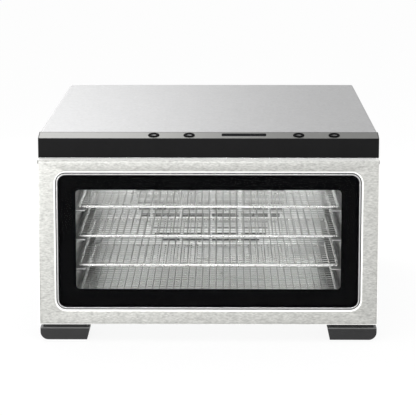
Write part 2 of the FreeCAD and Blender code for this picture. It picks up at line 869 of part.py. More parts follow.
def strike_plates():
    """Steel plates on the cabinet's face that the magnets pull on."""
    outer = half_width - magnet_inset + magnet_width / 2
    top = door_top - magnet_top_gap - door_sheet
    return group(mirrored_blocks(outer - magnet_width, outer, body_front - strike_thickness, body_front,
                                 top - magnet_height, top))


def door_gasket():
    """Soft seal on the door's back, round the cavity's mouth."""
    inner = grown(cavity_outline, gasket_opening_margin)
    return frame_panel(grown(inner, gasket_width), inner, door_back, body_front - fit_gap)


# ---- cavity ----
def cavity_side(side):
    """Side wall of the cavity."""
    x0, x1 = sorted((side * cavity_half, side * (cavity_half + liner_sheet)))
    return block(x0, x1, frame_back, bulkhead_front, cavity_floor - liner_sheet,
                 cavity_ceiling + liner_sheet)


def cavity_sheet(z):
    """Floor or ceiling of the cavity, with its lower face at z."""
    return block(-cavity_half, cavity_half, frame_back, bulkhead_front, z, z + liner_sheet)


def cavity_back_grille():
    """Rear wall with short air slots inside an oval, and flanges against the side walls."""
    holes = []
    for row in range(slot_rows):
        rise = (row - (slot_rows - 1) / 2) * slot_pitch
        reach = slot_oval_half_width * math.sqrt(1 - (rise / slot_oval_half_height) ** 2)
        for column in range(slot_columns):
            left = (column - slot_columns / 2) * slot_column_pitch + slot_column_gap / 2
            right = left + slot_column_pitch - slot_column_gap
            left = max(left, -reach)
            right = min(right, reach)
            if right - left >= shortest_slot:
                holes.append(slot_wire(left, right, cavity_middle + rise, slot_height))
    outer = slot_wire(-cavity_half, cavity_half, cavity_middle, cavity_height)
    sheet = pierced_face(outer, holes).extrude(FreeCAD.Vector(0, liner_sheet, 0))
    for flange in mirrored_blocks(cavity_half - liner_sheet, cavity_half, grille_front,
                                  grille_back + grille_flange, cavity_floor, cavity_ceiling):
        sheet = sheet.fuse(flange)
    return sheet.cut(probe_stem())


def slot_wire(left, right, z, height):
    """Closed rectangle in the rear wall's front face, with its middle at z."""
    half = height / 2
    corners = [FreeCAD.Vector(x, grille_front, z + dz)
               for x, dz in ((left, -half), (right, -half), (right, half), (left, half), (left, -half))]
    return Part.makePolygon(corners)


def tray_rails(side):
    """Angle rails on one side wall, one under each tray."""
    rails = []
    for height in tray_heights:
        top = height - tray_rod / 2 - fit_gap
        x0, x1 = sorted((side * cavity_half, side * (cavity_half - rail_sheet)))
        upright = block(x0, x1, frame_back + rail_end_gap, grille_front - rail_end_gap,
                        top - rail_height, top)
        x0, x1 = sorted((side * cavity_half, side * (cavity_half - rail_reach)))
        ledge = block(x0, x1, frame_back + rail_end_gap, grille_front - rail_end_gap,
                      top - rail_sheet, top)
        rails.append(fused([upright, ledge]))
    return rails


def floor_supports():
    """Two channels, open downwards, between the base and the cavity's floor."""
    top = cavity_floor - liner_sheet
    reach = cavity_half - support_side_gap
    supports = []
    for y in (frame_back + support_inset, grille_front - support_inset):
        channel = block(-reach, reach, y - support_width / 2, y + support_width / 2, base_top, top)
        hollow = block(-reach - 1, reach + 1, y - support_width / 2 + frame_sheet,
                       y + support_width / 2 - frame_sheet, base_top - 1, top - frame_sheet)
        supports.append(channel.cut(hollow))
    return group(supports)


def tray():
    """Wire tray at height zero: a rod border round a grid of thin wires."""
    half = tray_half
    corner = tray_corner_radius
    x_in = half - tray_rod
    y0_in = tray_front + tray_rod
    y1_in = tray_back - tray_rod
    outside = flat_plate(half, tray_front, tray_back, corner, -tray_rod / 2, tray_rod / 2)
    inside = flat_plate(x_in, y0_in, y1_in, max(corner - tray_rod, 1.0), -tray_rod, tray_rod)
    edge = flat_outline(half - tray_rod / 2, tray_front + tray_rod / 2, tray_back - tray_rod / 2,
                        max(corner - tray_rod / 2, 1.0), -tray_wire / 2)
    long_wires = wire_places(-x_in, x_in, tray_wire_spacing)
    cross_wires = wire_places(y0_in, y1_in, tray_cross_spacing)
    holes = []
    for x0, x1 in gaps_between(long_wires, -x_in, x_in):
        beside = corner / 2 - tray_rod / 2 if x0 == -x_in or x1 == x_in else 0.0
        for y0, y1 in gaps_between(cross_wires, y0_in, y1_in):
            low = y0 + beside if y0 == y0_in else y0
            high = y1 - beside if y1 == y1_in else y1
            holes.append(flat_rectangle(x0, x1, low, high, -tray_wire / 2))
    grid = pierced_face(edge, holes).extrude(FreeCAD.Vector(0, 0, tray_wire))
    return outside.cut(inside).fuse(grid)


def wire_places(start, end, spacing):
    """Evenly spaced wire centres between two borders, nearest to the wanted spacing."""
    count = max(int(round((end - start) / spacing)), 2)
    step = (end - start) / count
    return [start + step * i for i in range(1, count)]


def gaps_between(places, start, end):
    """Open spans between wires and borders."""
    half = tray_wire / 2
    lows = [start] + [place + half for place in places]
    highs = [place - half for place in places] + [end]
    return list(zip(lows, highs))


def flat_rectangle(x0, x1, y0, y1, z):
    """Closed rectangle in the plane z."""
    corners = ((x0, y0), (x1, y0), (x1, y1), (x0, y1), (x0, y0))
    return Part.makePolygon([FreeCAD.Vector(x, y, z) for x, y in corners])


def flat_plate(half_x, y0, y1, radius, z0, z1):
    """Level rounded rectangular plate from z0 to z1."""
    return Part.Face(flat_outline(half_x, y0, y1, radius, z0)).extrude(FreeCAD.Vector(0, 0, z1 - z0))


def flat_outline(half_x, y0, y1, radius, z):
    """Rounded rectangle in the plane z."""
    wire = upright_outline(half_x, y0, y1, radius, 0)
    wire.rotate(FreeCAD.Vector(0, 0, 0), FreeCAD.Vector(1, 0, 0), -90)
    wire.translate(FreeCAD.Vector(0, 0, z))
    return wire


# ---- fan, heater and motor ----
def fan_chamber_wall():
    """Bulkhead behind the fan: carries the motor and heater and lets fresh air in."""
    z = cavity_middle
    wall = block(-cover_inner, cover_inner, bulkhead_front, bulkhead_back, base_top,
                 body_top - cover_sheet - cover_corner_radius)
    rise = block(-cover_inner + cover_corner_radius, cover_inner - cover_corner_radius, bulkhead_front,
                 bulkhead_back, body_top - 2 * cover_corner_radius, body_top - cover_sheet)
    notches = mirrored_blocks(cover_inner - base_sheet - fit_gap, cover_inner + 1, bulkhead_front - 1,
                              bulkhead_back + 1, 0, base_top + base_flange_height + fit_gap)
    wall = fused([wall, rise])
    cutters = notches + [through_wall(bush_radius + 1, 0, z)]
    for i in range(intake_holes):
        turn = 2 * math.pi * i / intake_holes
        cutters.append(through_wall(intake_hole_radius, intake_radius * math.cos(turn),
                                    z + intake_radius * math.sin(turn)))
    for x in motor_screw_places():
        cutters.append(through_wall(motor_screw_radius, x, z))
    for x, hz in heater_ends():
        cutters.append(through_wall(heater_tube_radius + fit_gap, x, hz))
    cutters.append(through_wall(harness_radius + grommet_wall, harness_start().x, harness_end()[1].z))
    for cutter in cutters:
        wall = wall.cut(cutter)
    return wall


def through_wall(radius, x, z):
    """Cutter for a round hole through the bulkhead."""
    return rod(radius, (x, bulkhead_front - 1, z), (x, bulkhead_back + 1, z))


def motor_screw_places():
    """X of the two screws through the motor."""
    x = motor_width / 2 - motor_screw_inset
    return (-x, x)


def heater_ends():
    """X and Z of the heater's two tails."""
    half = math.radians(heater_gap_angle / 2)
    x = heater_radius * math.sin(half) - heater_bend * math.cos(half)
    z = cavity_middle - heater_radius * math.cos(half) - heater_bend * math.sin(half)
    return ((-x, z), (x, z))


def heating_element():
    """Sheathed ring heater round the fan, bent back through the bulkhead at both ends."""
    half = math.radians(heater_gap_angle / 2)
    back = FreeCAD.Vector(0, 1, 0)
    middle = FreeCAD.Vector(0, heater_y, cavity_middle)
    rear = bulkhead_back + heater_tail
    pieces = []
    for side, (x, z) in zip((-1, 1), heater_ends()):
        ring_end = middle + FreeCAD.Vector(side * heater_radius * math.sin(half), 0,
                                           -heater_radius * math.cos(half))
        along = FreeCAD.Vector(-side * math.cos(half), 0, -math.sin(half))
        if side < 0:
            pieces.append(bent_bar(heater_tube_radius, ring_end, middle, back, 360 - heater_gap_angle))
        pieces.append(bent_bar(heater_tube_radius, ring_end, ring_end + back * heater_bend,
                               along.cross(back), 90))
        pieces.append(rod(heater_tube_radius, (x, heater_y + heater_bend, z), (x, rear, z)))
    return fused(pieces)


def heater_clips():
    """Straps that hold the heater ring off the bulkhead."""
    centre = FreeCAD.Vector(0, 0, cavity_middle)
    clips = []
    for turn in (0, 120, 240):
        half = heater_clip_width / 2
        top = cavity_middle + heater_radius
        strap = block(-heater_clip_thickness / 2, heater_clip_thickness / 2,
                      heater_y - heater_tube_radius - 1, bulkhead_front, top - half, top + half)
        hole = rod(heater_tube_radius + running_gap, (-heater_clip_width, heater_y, top),
                   (heater_clip_width, heater_y, top))
        clip = strap.cut(hole)
        clip.rotate(centre, FreeCAD.Vector(0, 1, 0), turn)
        clips.append(clip)
    return group(clips)


def fan_wheel():
    """Axial fan: a hub and pitched blades."""
    z = cavity_middle
    hub = rod(fan_hub_radius, (0, fan_front, z), (0, fan_front + fan_depth, z))
    reach = fan_radius * 1.2
    disc = rod(fan_radius, (0, fan_front, z), (0, fan_front + fan_depth, z))
    blades = []
    for i in range(fan_blades):
        blade = block(-fan_blade_thickness / 2, fan_blade_thickness / 2, -fan_blade_chord / 2,
                      fan_blade_chord / 2, fan_hub_radius - 1, reach)
        blade.rotate(FreeCAD.Vector(0, 0, 0), FreeCAD.Vector(0, 0, 1), fan_blade_angle)
        blade.translate(FreeCAD.Vector(0, fan_front + fan_depth / 2, z))
        blade.rotate(FreeCAD.Vector(0, 0, z), FreeCAD.Vector(0, 1, 0), 360 / fan_blades * i)
        blades.append(blade.common(disc))
    wheel = hub.multiFuse(blades)
    return wheel.cut(rod(shaft_radius, (0, fan_front - 1, z), (0, fan_front + fan_depth + 1, z)))


def fan_shaft():
    """Shaft from the fan's nose to the rear bush."""
    z = cavity_middle
    return rod(shaft_radius, (0, fan_front - shaft_nose, z), (0, motor_back - fit_gap, z))


def motor_rotor():
    """Rotor drum on the shaft, inside the core's bore."""
    z = cavity_middle
    drum = rod(rotor_radius, (0, core_front + fit_gap, z), (0, core_back - fit_gap, z))
    return drum.cut(rod(shaft_radius, (0, core_front - 1, z), (0, core_back + 1, z)))


def motor_core():
    """Laminated core of the shaded-pole motor, with the rotor's bore and the coil's window."""
    z = cavity_middle
    half = motor_width / 2
    top = z + motor_core_above
    core = block(-half, half, core_front, core_back, z - motor_core_below, top)
    bore = rod(rotor_radius + rotor_gap, (0, core_front - 1, z), (0, core_back + 1, z))
    window = block(-coil_half_width - fit_gap, coil_half_width + fit_gap, core_front - 1, core_back + 1,
                   top - coil_bar_height - coil_wall - fit_gap, top - coil_bar_height)
    core = core.cut(bore).cut(window)
    for x in motor_screw_places():
        core = core.cut(motor_screw_shank(x))
    return core


def motor_coil():
    """Winding round the core's upper bar."""
    top = cavity_middle + motor_core_above
    outer = block(-coil_half_width, coil_half_width, core_front - coil_wall, core_back + coil_wall,
                  top - coil_bar_height - coil_wall, top + coil_wall)
    bar = block(-coil_half_width - 1, coil_half_width + 1, core_front, core_back,
                top - coil_bar_height, top)
    return outer.cut(bar)


def motor_bracket(front):
    """Bearing bracket: a bridge over the rotor with a boss for the bush."""
    z = cavity_middle
    half = motor_width / 2
    if front:
        plate0, plate1, leg0, leg1 = (bulkhead_back, bulkhead_back + bracket_plate, bulkhead_back,
                                      core_front)
        boss0, boss1 = bulkhead_back, bulkhead_back + bush_length
    else:
        plate0, plate1, leg0, leg1 = (motor_back - bracket_plate, motor_back, core_back, motor_back)
        boss0, boss1 = motor_back - bush_length, motor_back
    plate = block(-half, half, plate0, plate1, z - bracket_half_height, z + bracket_half_height)
    legs = mirrored_blocks(half - bracket_leg, half, leg0, leg1, z - bracket_half_height,
                           z + bracket_half_height)
    boss = rod(bush_boss_radius, (0, boss0, z), (0, boss1, z))
    bracket = fused([plate, boss] + legs)
    bracket = bracket.cut(rod(bush_radius, (0, boss0 - 1, z), (0, boss1 + 1, z)))
    for x in motor_screw_places():
        bracket = bracket.cut(motor_screw_shank(x))
    return bracket


def motor_bushes():
    """Plain bearings pressed in the brackets."""
    z = cavity_middle
    bushes = []
    for y0 in (bulkhead_back, motor_back - bush_length):
        bush = rod(bush_radius, (0, y0, z), (0, y0 + bush_length, z))
        bushes.append(bush.cut(rod(shaft_radius + running_gap, (0, y0 - 1, z),
                                   (0, y0 + bush_length + 1, z))))
    return group(bushes)


def motor_screw_shank(x):
    """Round shank from the bulkhead's front to the rear bracket's back."""
    z = cavity_middle
    return rod(motor_screw_radius, (x, bulkhead_front, z), (x, motor_back, z))


def motor_screws():
    """Through screws with heads at the rear and nuts in the fan chamber."""
    z = cavity_middle
    screws = []
    for x in motor_screw_places():
        nut = rod(screw_head_radius, (x, bulkhead_front - screw_head_height, z), (x, bulkhead_front, z))
        head = rod(screw_head_radius, (x, motor_back, z), (x, motor_back + screw_head_height, z))
        screws.append(fused([nut, motor_screw_shank(x), head]))
    return group(screws)


def thermal_cutout():
    """Disc cut-out on the cavity's ceiling in the fan chamber."""
    y = (grille_back + bulkhead_front) / 2
    low = cavity_ceiling + liner_sheet
    top = low + cutout_height
    reach = cutout_radius + cutout_flange_reach
    disc = rod(cutout_radius, (0, y, low), (0, y, top))
    flange = block(-reach, reach, y - cutout_flange_width / 2, y + cutout_flange_width / 2, low,
                   low + cutout_flange_thickness)
    tabs = mirrored_blocks(cutout_tab_inner, cutout_tab_inner + cutout_tab_width,
                           y - cutout_tab_thickness / 2, y + cutout_tab_thickness / 2, top - 1,
                           top + cutout_tab_height)
    return fused([disc, flange] + tabs)


def temperature_probe():
    """Thin steel probe through the rear wall, above the top tray."""
    z = cavity_ceiling - probe_drop
    collar = rod(probe_collar_radius, (probe_x, grille_front - probe_collar_width, z),
                 (probe_x, grille_front, z))
    return fused([probe_stem(), collar])


def probe_stem():
    """The probe's straight stem."""
    z = cavity_ceiling - probe_drop
    return rod(probe_radius, (probe_x, grille_front - probe_length, z),
               (probe_x, grille_back + probe_tail, z))


# ---- rear compartment ----
def power_inlet():
    """Appliance inlet: a flange on the rear panel and a hollow body behind it."""
    half_x = inlet_body_width / 2
    half_z = inlet_body_height / 2
    z = inlet_height
    front = rear_face - inlet_body_depth
    back = rear_face + inlet_flange_thickness
    body = block(inlet_x - half_x, inlet_x + half_x, front, rear_face, z - half_z, z + half_z)
    flange = block(inlet_x - inlet_flange_width / 2, inlet_x + inlet_flange_width / 2, rear_face, back,
                   z - inlet_flange_height / 2, z + inlet_flange_height / 2)
    upright = [e for e in flange.Edges if e.BoundBox.YLength > 1 and e.BoundBox.XLength < 0.01
               and e.BoundBox.ZLength < 0.01]
    flange = flange.makeFillet(inlet_flange_height / 6, upright)
    socket = block(inlet_x - half_x + inlet_wall, inlet_x + half_x - inlet_wall, front + inlet_wall,
                   back + 1, z - half_z + inlet_wall, z + half_z - inlet_wall)
    inlet = fused([body, flange]).cut(socket)
    for pin in inlet_pin_blocks():
        inlet = inlet.cut(pin)
    for x, screw_z in inlet_screw_places():
        inlet = inlet.cut(rod(rear_screw_radius, (x, rear_face - 1, screw_z), (x, back + 1, screw_z)))
    return inlet


def inlet_pin_blocks():
    """The three contact blades."""
    front = rear_face - inlet_body_depth
    blades = []
    for column, rise in ((-1, -2), (0, 2), (1, -2)):
        x = inlet_x + column * inlet_pin_pitch
        z = inlet_height + rise
        blades.append(block(x - inlet_pin_width / 2, x + inlet_pin_width / 2, front - 5,
                            front + inlet_wall + inlet_pin_reach, z - inlet_pin_height / 2,
                            z + inlet_pin_height / 2))
    return blades


def rear_screws():
    """Pan-head screws of the rear panel, and the inlet's two flush ones."""
    screws = [pan_screw(x, z, rear_face, 3 * cover_sheet, rear_screw_radius)
              for x, z in rear_screw_places()]
    screws += [rod(rear_screw_radius, (x, rear_face - 3 * cover_sheet, z),
                   (x, rear_face + inlet_flange_thickness, z)) for x, z in inlet_screw_places()]
    return group(screws)


def power_board_corner():
    """Low corner of the power board, on the left of the rear compartment."""
    x = -cover_inner + power_board_inset
    y = (bulkhead_back + rear_inner - power_board_depth) / 2
    return (x, y, base_top + power_board_stand)


def power_board():
    """Circuit board of the heater and motor drive, on four posts."""
    x, y, z = power_board_corner()
    return block(x, x + power_board_width, y, y + power_board_depth, z, z + power_board_thickness)


def power_board_posts():
    """Posts pressed into the base under the power board's corners."""
    x, y, z = power_board_corner()
    inset = power_post_inset
    places = [(px, py) for px in (x + inset, x + power_board_width - inset)
              for py in (y + inset, y + power_board_depth - inset)]
    return [rod(power_post_radius, (px, py, body_bottom), (px, py, z)) for px, py in places]


def power_board_parts():
    """Relay, transformer, capacitor, terminal block and harness socket on the power board."""
    x, y, z = power_board_corner()
    top = z + power_board_thickness
    right = x + power_board_width - board_part_margin
    rear = y + power_board_depth - board_part_margin
    near = y + board_part_margin
    left = x + board_part_margin
    relay = block(left, left + relay_width, rear - relay_depth, rear, top, top + relay_height)
    transformer = block(right - transformer_width, right, near, near + transformer_depth, top,
                        top + transformer_height)
    terminals = block(right - terminal_width, right, rear - terminal_depth, rear, top,
                      top + terminal_height)
    middle = (left + relay_width + right - terminal_width) / 2
    capacitor = rod(capacitor_radius, (middle, rear - capacitor_radius, top),
                    (middle, rear - capacitor_radius, top + capacitor_height))
    sx = x + power_socket_x
    sy = y + power_socket_y
    socket = block(sx - power_socket_width / 2, sx + power_socket_width / 2, sy - power_socket_depth / 2,
                   sy + power_socket_depth / 2, top, top + power_socket_height)
    return group([relay, transformer, capacitor, terminals, socket])


def wiring_harness():
    """Cable from the power board over the cavity to the control board."""
    start = harness_start()
    end, turn = harness_end()
    route = [start, FreeCAD.Vector(start.x, start.y, turn.z),
             FreeCAD.Vector(start.x, turn.y + 4 * harness_bend, turn.z),
             FreeCAD.Vector(turn.x, turn.y + 2 * harness_bend, turn.z), turn, end]
    return tube_along(route, harness_radius, harness_bend)


def harness_start():
    """Top of the socket on the power board."""
    x, y, z = power_board_corner()
    return FreeCAD.Vector(x + power_socket_x, y + power_socket_y,
                          z + power_board_thickness + power_socket_height)


def harness_end():
    """Where the harness enters the plug, and the bend before it, in line with the slope."""
    x, rear, level = plug_place()
    end = on_strip(Part.Vertex(x, rear, level)).Point
    turn = on_strip(Part.Vertex(x, rear + harness_bend, level)).Point
    return end, turn


def tube_along(route, radius, bend):
    """Round tube along straight runs joined by tangent bends."""
    pieces = []
    last = route[0]
    for i in range(1, len(route) - 1):
        here = route[i]
        back = route[i - 1] - here
        ahead = route[i + 1] - here
        angle = back.getAngle(ahead)
        limit = 0.45 * min(back.Length, ahead.Length) * math.tan(angle / 2)
        arc_radius = min(bend, limit)
        reach = arc_radius / math.tan(angle / 2)
        back.normalize()
        ahead.normalize()
        inwards = back + ahead
        inwards.normalize()
        start = here + back * reach
        centre = here + inwards * (arc_radius / math.sin(angle / 2))
        pieces.append(rod(radius, last, start))
        pieces.append(bent_bar(radius, start, centre, ahead.cross(back), 180 - math.degrees(angle)))
        last = here + ahead * reach
    pieces.append(rod(radius, last, route[-1]))
    return fused(pieces)


# ---- write every node ----
save("outer_cover", outer_cover())
save("base_plate", base_plate())
save("front_frame", front_frame())
save("rear_panel", rear_panel())
save("rear_screws", rear_screws())
for name, place in zip(("foot_front_left", "foot_front_right", "foot_rear_left", "foot_rear_right"),
                       foot_screw_places()):
    save(name, foot(place))
save("foot_screws", group([foot_screw(place) for place in foot_screw_places()]))

save("control_fascia", control_fascia())
save("control_strip", control_strip())
save("display_window", display_window())
save("display_module", display_module())
save("control_board", control_board())
save("button_switches", button_switches())
for number, x in enumerate(button_places, start=1):
    save("button_%d" % number, button(x))

save("door_skin", door_skin())
save("door_trim_ring", door_trim_ring())
save("door_glass", door_glass())
save("door_glass_border", door_glass_border())
save("door_back_frame", door_back_frame())
save("door_gasket", door_gasket())
save("door_magnets", group(magnet_blocks()))
save("hinge_pins", group([hinge_pin(x) for x in hinge_middles()]))
save("hinge_arms", group([hinge_arm(x) for x in hinge_middles()]))
save("strike_plates", strike_plates())

save("cavity_side_left", cavity_side(-1))
save("cavity_side_right", cavity_side(1))
save("cavity_floor", cavity_sheet(cavity_floor - liner_sheet))
save("cavity_ceiling", cavity_sheet(cavity_ceiling))
save("floor_supports", floor_supports())
save("cavity_back_grille", cavity_back_grille())
save("tray_rails", group(tray_rails(-1) + tray_rails(1)))
level_tray = tray()
for number, height in enumerate(reversed(tray_heights), start=1):
    save("tray_%d" % number, level_tray.translated(FreeCAD.Vector(0, 0, height)))

save("fan_chamber_wall", fan_chamber_wall())
save("fan_wheel", fan_wheel())
save("fan_shaft", fan_shaft())
save("motor_rotor", motor_rotor())
save("motor_core", motor_core())
save("motor_coil", motor_coil())
save("motor_bracket_front", motor_bracket(True))
save("motor_bracket_rear", motor_bracket(False))
save("motor_bushes", motor_bushes())
save("motor_screws", motor_screws())
save("heating_element", heating_element())
save("heater_clips", heater_clips())
save("thermal_cutout", thermal_cutout())
save("temperature_probe", temperature_probe())

save("power_inlet", power_inlet())
save("inlet_pins", group(inlet_pin_blocks()))
save("power_board", power_board())
save("power_board_parts", power_board_parts())
save("wiring_harness", wiring_harness())
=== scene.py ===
"""Food dehydrator: finishes, wire trays, buttons, screws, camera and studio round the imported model."""
import json
import math

import bmesh
import bpy
from mathutils import Matrix, Vector


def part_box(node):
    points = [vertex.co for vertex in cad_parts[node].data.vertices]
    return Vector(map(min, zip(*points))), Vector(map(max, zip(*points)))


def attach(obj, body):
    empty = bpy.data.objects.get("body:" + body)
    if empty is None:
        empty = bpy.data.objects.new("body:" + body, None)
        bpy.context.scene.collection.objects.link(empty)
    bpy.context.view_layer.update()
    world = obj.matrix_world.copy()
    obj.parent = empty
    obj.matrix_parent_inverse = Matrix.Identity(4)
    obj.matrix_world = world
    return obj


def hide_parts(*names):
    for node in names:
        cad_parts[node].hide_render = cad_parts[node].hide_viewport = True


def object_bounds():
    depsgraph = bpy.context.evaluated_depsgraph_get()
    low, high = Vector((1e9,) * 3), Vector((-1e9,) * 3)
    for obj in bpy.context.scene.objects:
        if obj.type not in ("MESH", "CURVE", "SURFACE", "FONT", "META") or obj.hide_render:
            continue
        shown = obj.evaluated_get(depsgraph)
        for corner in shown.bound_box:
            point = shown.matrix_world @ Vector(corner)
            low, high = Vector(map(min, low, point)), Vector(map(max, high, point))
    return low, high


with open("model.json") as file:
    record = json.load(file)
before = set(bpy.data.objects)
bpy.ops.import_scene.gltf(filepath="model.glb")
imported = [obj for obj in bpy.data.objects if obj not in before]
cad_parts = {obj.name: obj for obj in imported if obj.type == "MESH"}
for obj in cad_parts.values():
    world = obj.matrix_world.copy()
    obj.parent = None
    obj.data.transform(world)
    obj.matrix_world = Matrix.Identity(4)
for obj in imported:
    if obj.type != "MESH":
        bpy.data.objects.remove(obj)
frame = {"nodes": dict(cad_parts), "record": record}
cad_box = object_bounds()

# All lengths are in metres, and all counts of a pattern are per metre.

# ---- edges of the CAD pieces ----
bevel_width = 0.00025
foot_bevel = 0.0012
bevel_segments = 2
weld_distance = 0.000005
flat_angle = math.radians(0.5)      # faces that differ by less are joined into one
sharp_angle = math.radians(35)
slotted_pieces = ("door_back_frame", "hinge_arms")  # merged faces would fold at their narrow slots
enamel_shrink = 0.00002

# ---- trays ----
tray_count = 4
tray_corner = 0.003
tray_corner_steps = 8
tray_border_sides = 14
tray_wire_radius = 0.0006
tray_cross_radius = 0.0004
tray_wire_sides = 10
tray_wire_spacing = 0.00735
tray_cross_spacing = 0.0115
tray_wire_rise = 0.0004

# ---- buttons on the sloping strip; heights count from the strip's face ----
button_count = 4
strip_rise = 0.004
strip_run = 0.018
strip_slope = math.atan2(strip_rise, strip_run)
strip_thickness = 0.001
button_radius = 0.0055
button_height = 0.0009
button_rim = 0.0004
button_ring_width = 0.0021
button_cap_gap = 0.00015
button_cap_floor = -0.0008
button_cap_height = 0.0001
button_dish = 0.0003
button_dish_steps = 6
button_under = -0.0033              # the flange's upper face
button_flange_radius = 0.0072
button_flange_thickness = 0.0012
button_stem_radius = 0.002
button_stem_length = 0.0017
turned_sides = 64

# ---- screws ----
rear_head_height = 0.002
rear_screw_shank = 0.00178
foot_head_height = 0.003
foot_screw_shank = 0.002
screw_sides = 48
screw_rounding = 0.0009
screw_rounding_steps = 6
screw_recess_reach = 0.58           # arm of the cross recess, as a share of the head's radius
screw_recess_width = 0.15           # half its width, as the same share
screw_recess_depth = 0.34           # and its depth
screw_recess_taper = 0.6            # the recess at its foot, as a share of its mouth

# ---- patterns and finishes ----
colour_a, colour_b, mixed_colour = 6, 7, 2  # numbers of a colour mix node's sockets
pattern_low = 0.3                   # a noise pattern lies mostly between these two values
pattern_high = 0.7
noise_roughness = 0.6
edge_blend = 0.0003                 # width over which one finish turns into the next
steel_hairlines = 1050.0            # across the brushing
steel_dashes = 330.0                # along the brushing
steel_relief = 0.000006
steel_roughness_swing = 0.04
outer_edge_tint = 0.65              # how much of the glancing reflection the outer sheets keep
fine_relief = 0.00001
bright_relief = 0.0000008
wire_relief = 0.000001
moulded_texture = 1400.0
moulded_relief = 0.00004
rubber_texture = 700.0
rubber_relief = 0.00003
sheath_relief = 0.00002
winding_relief = 0.00012
solder_relief = 0.0001
solder_grey = (0.55, 0.55, 0.52)
glass_cover = 0.04                  # share of the pane that isn't see-through
trim_lip = 0.0005                   # bright depth of the ring round the glass; behind it the ring is painted shade
trim_blend = 0.0001
trim_shadow = (0.002, 0.002, 0.002)

# ---- the door's painted highlights, and the feet's painted highlight and shade ----
# near-white, less metallic painted highlight on the door's recess slope and top fold
painted_highlight_grey = (0.95, 0.95, 0.93)
painted_highlight_metallic = 0.2
recess_start = 0.0002               # behind the door's front face
top_start = 0.0013                  # the same, where the sheet folds over at the top
top_fold = 0.004                    # below the door's top
# painted highlight on the foot's rim, and painted shade on its neck under the door
foot_rim_low = 0.0113
foot_rim_top = 0.0126
foot_rim_painted_highlight = (0.12, 0.12, 0.12)
foot_neck_painted_shade = (0.001, 0.001, 0.001)

# ---- camera and studio ----
camera_place = Vector((0.0166, -2.2461, 0.4936))
camera_tilt = math.radians(80.01)
camera_heading = math.radians(0.48)
camera_lens = 178.65
world_level = 0.9
floor_half_size = 12.0
floor_glow = 0.9
floor_paint = (0.9, 0.9, 0.9, 1.0)


# ---- shader nodes ----
def add(tree, kind, inputs=None, **settings):
    """One node; its inputs, by name or number, are values or other nodes' outputs."""
    made = tree.nodes.new(kind)
    for name, value in settings.items():
        setattr(made, name, value)
    for name, value in (inputs or {}).items():
        if isinstance(value, bpy.types.NodeSocket):
            tree.links.new(value, made.inputs[name])
        else:
            made.inputs[name].default_value = value
    return made


def finish(name, inputs):
    """A new material and its node tree, with the shader's own sockets set."""
    material = bpy.data.materials.new(name)
    material.use_nodes = True
    shader = material.node_tree.nodes["Principled BSDF"]
    for socket, value in inputs.items():
        shader.inputs[socket].default_value = value
    return material, material.node_tree


def feed(tree, **outputs):
    """Links node outputs to the shader's sockets, such as Base_Color."""
    shader = tree.nodes["Principled BSDF"]
    for socket, output in outputs.items():
        tree.links.new(output, shader.inputs[socket.replace("_", " ")])


def place(tree, per_metre):
    """The surface's own place, counted in cells per metre along X, Y and Z."""
    own = add(tree, "ShaderNodeTexCoord").outputs["Object"]
    return add(tree, "ShaderNodeMapping", {"Vector": own, "Scale": per_metre}).outputs["Vector"]


def along(tree, axis):
    """The surface's own place along one axis."""
    own = add(tree, "ShaderNodeTexCoord").outputs["Object"]
    return add(tree, "ShaderNodeSeparateXYZ", {"Vector": own}).outputs[axis]


def even(count):
    """The same count along X, Y and Z."""
    return (count, count, count)


def noise(tree, per_metre, detail=3.0):
    """Soft random pattern of that many cells per metre."""
    inputs = {"Vector": place(tree, per_metre), "Scale": 1.0, "Detail": detail,
              "Roughness": noise_roughness}
    return add(tree, "ShaderNodeTexNoise", inputs).outputs["Fac"]


def cells(tree, per_metre, feature="F1"):
    """Cell pattern of that many cells per metre."""
    inputs = {"Vector": place(tree, per_metre), "Scale": 1.0}
    return add(tree, "ShaderNodeTexVoronoi", inputs, feature=feature).outputs


def spread(tree, factor, low, high, start=pattern_low, end=pattern_high):
    """The factor's range from start to end stretched from low to high."""
    inputs = {"Value": factor, "From Min": start, "From Max": end, "To Min": low, "To Max": high}
    return add(tree, "ShaderNodeMapRange", inputs).outputs["Result"]


def shades(tree, factor, dark, light, start=pattern_low, end=pattern_high):
    """A colour from dark to light by the factor."""
    ramp = add(tree, "ShaderNodeValToRGB", {"Fac": factor})
    for stop, colour, position in zip(ramp.color_ramp.elements, (dark, light), (start, end)):
        stop.color = (*colour, 1.0)
        stop.position = position
    return ramp.outputs["Color"]


def sum_of(tree, first, second, share):
    """The first pattern plus a share of the second, kept near one half."""
    both = add(tree, "ShaderNodeMath", {0: second, 1: share, 2: first}, operation="MULTIPLY_ADD")
    return spread(tree, both.outputs[0], 0.0, 1.0, share / 2, 1 + share / 2)


def bump(tree, height, depth):
    """Surface relief of that depth in metres."""
    inputs = {"Height": height, "Strength": 1.0, "Distance": depth}
    return add(tree, "ShaderNodeBump", inputs).outputs["Normal"]


def around(colour, change):
    """The colour made darker and lighter by a share of itself."""
    return [tuple(channel * (1 + side * change) for channel in colour) for side in (-1, 1)]


def past(tree, axis, start, blend=edge_blend):
    """Nought up to a place along the surface's own axis, and one past it."""
    return spread(tree, along(tree, axis), 0.0, 1.0, start, start + blend)


def two_tone(tree, factor, first, second):
    """A colour output that turns into a second, fixed colour by the factor."""
    inputs = {"Factor": factor, colour_a: first, colour_b: (*second, 1.0)}
    return add(tree, "ShaderNodeMix", inputs, data_type="RGBA").outputs[mixed_colour]


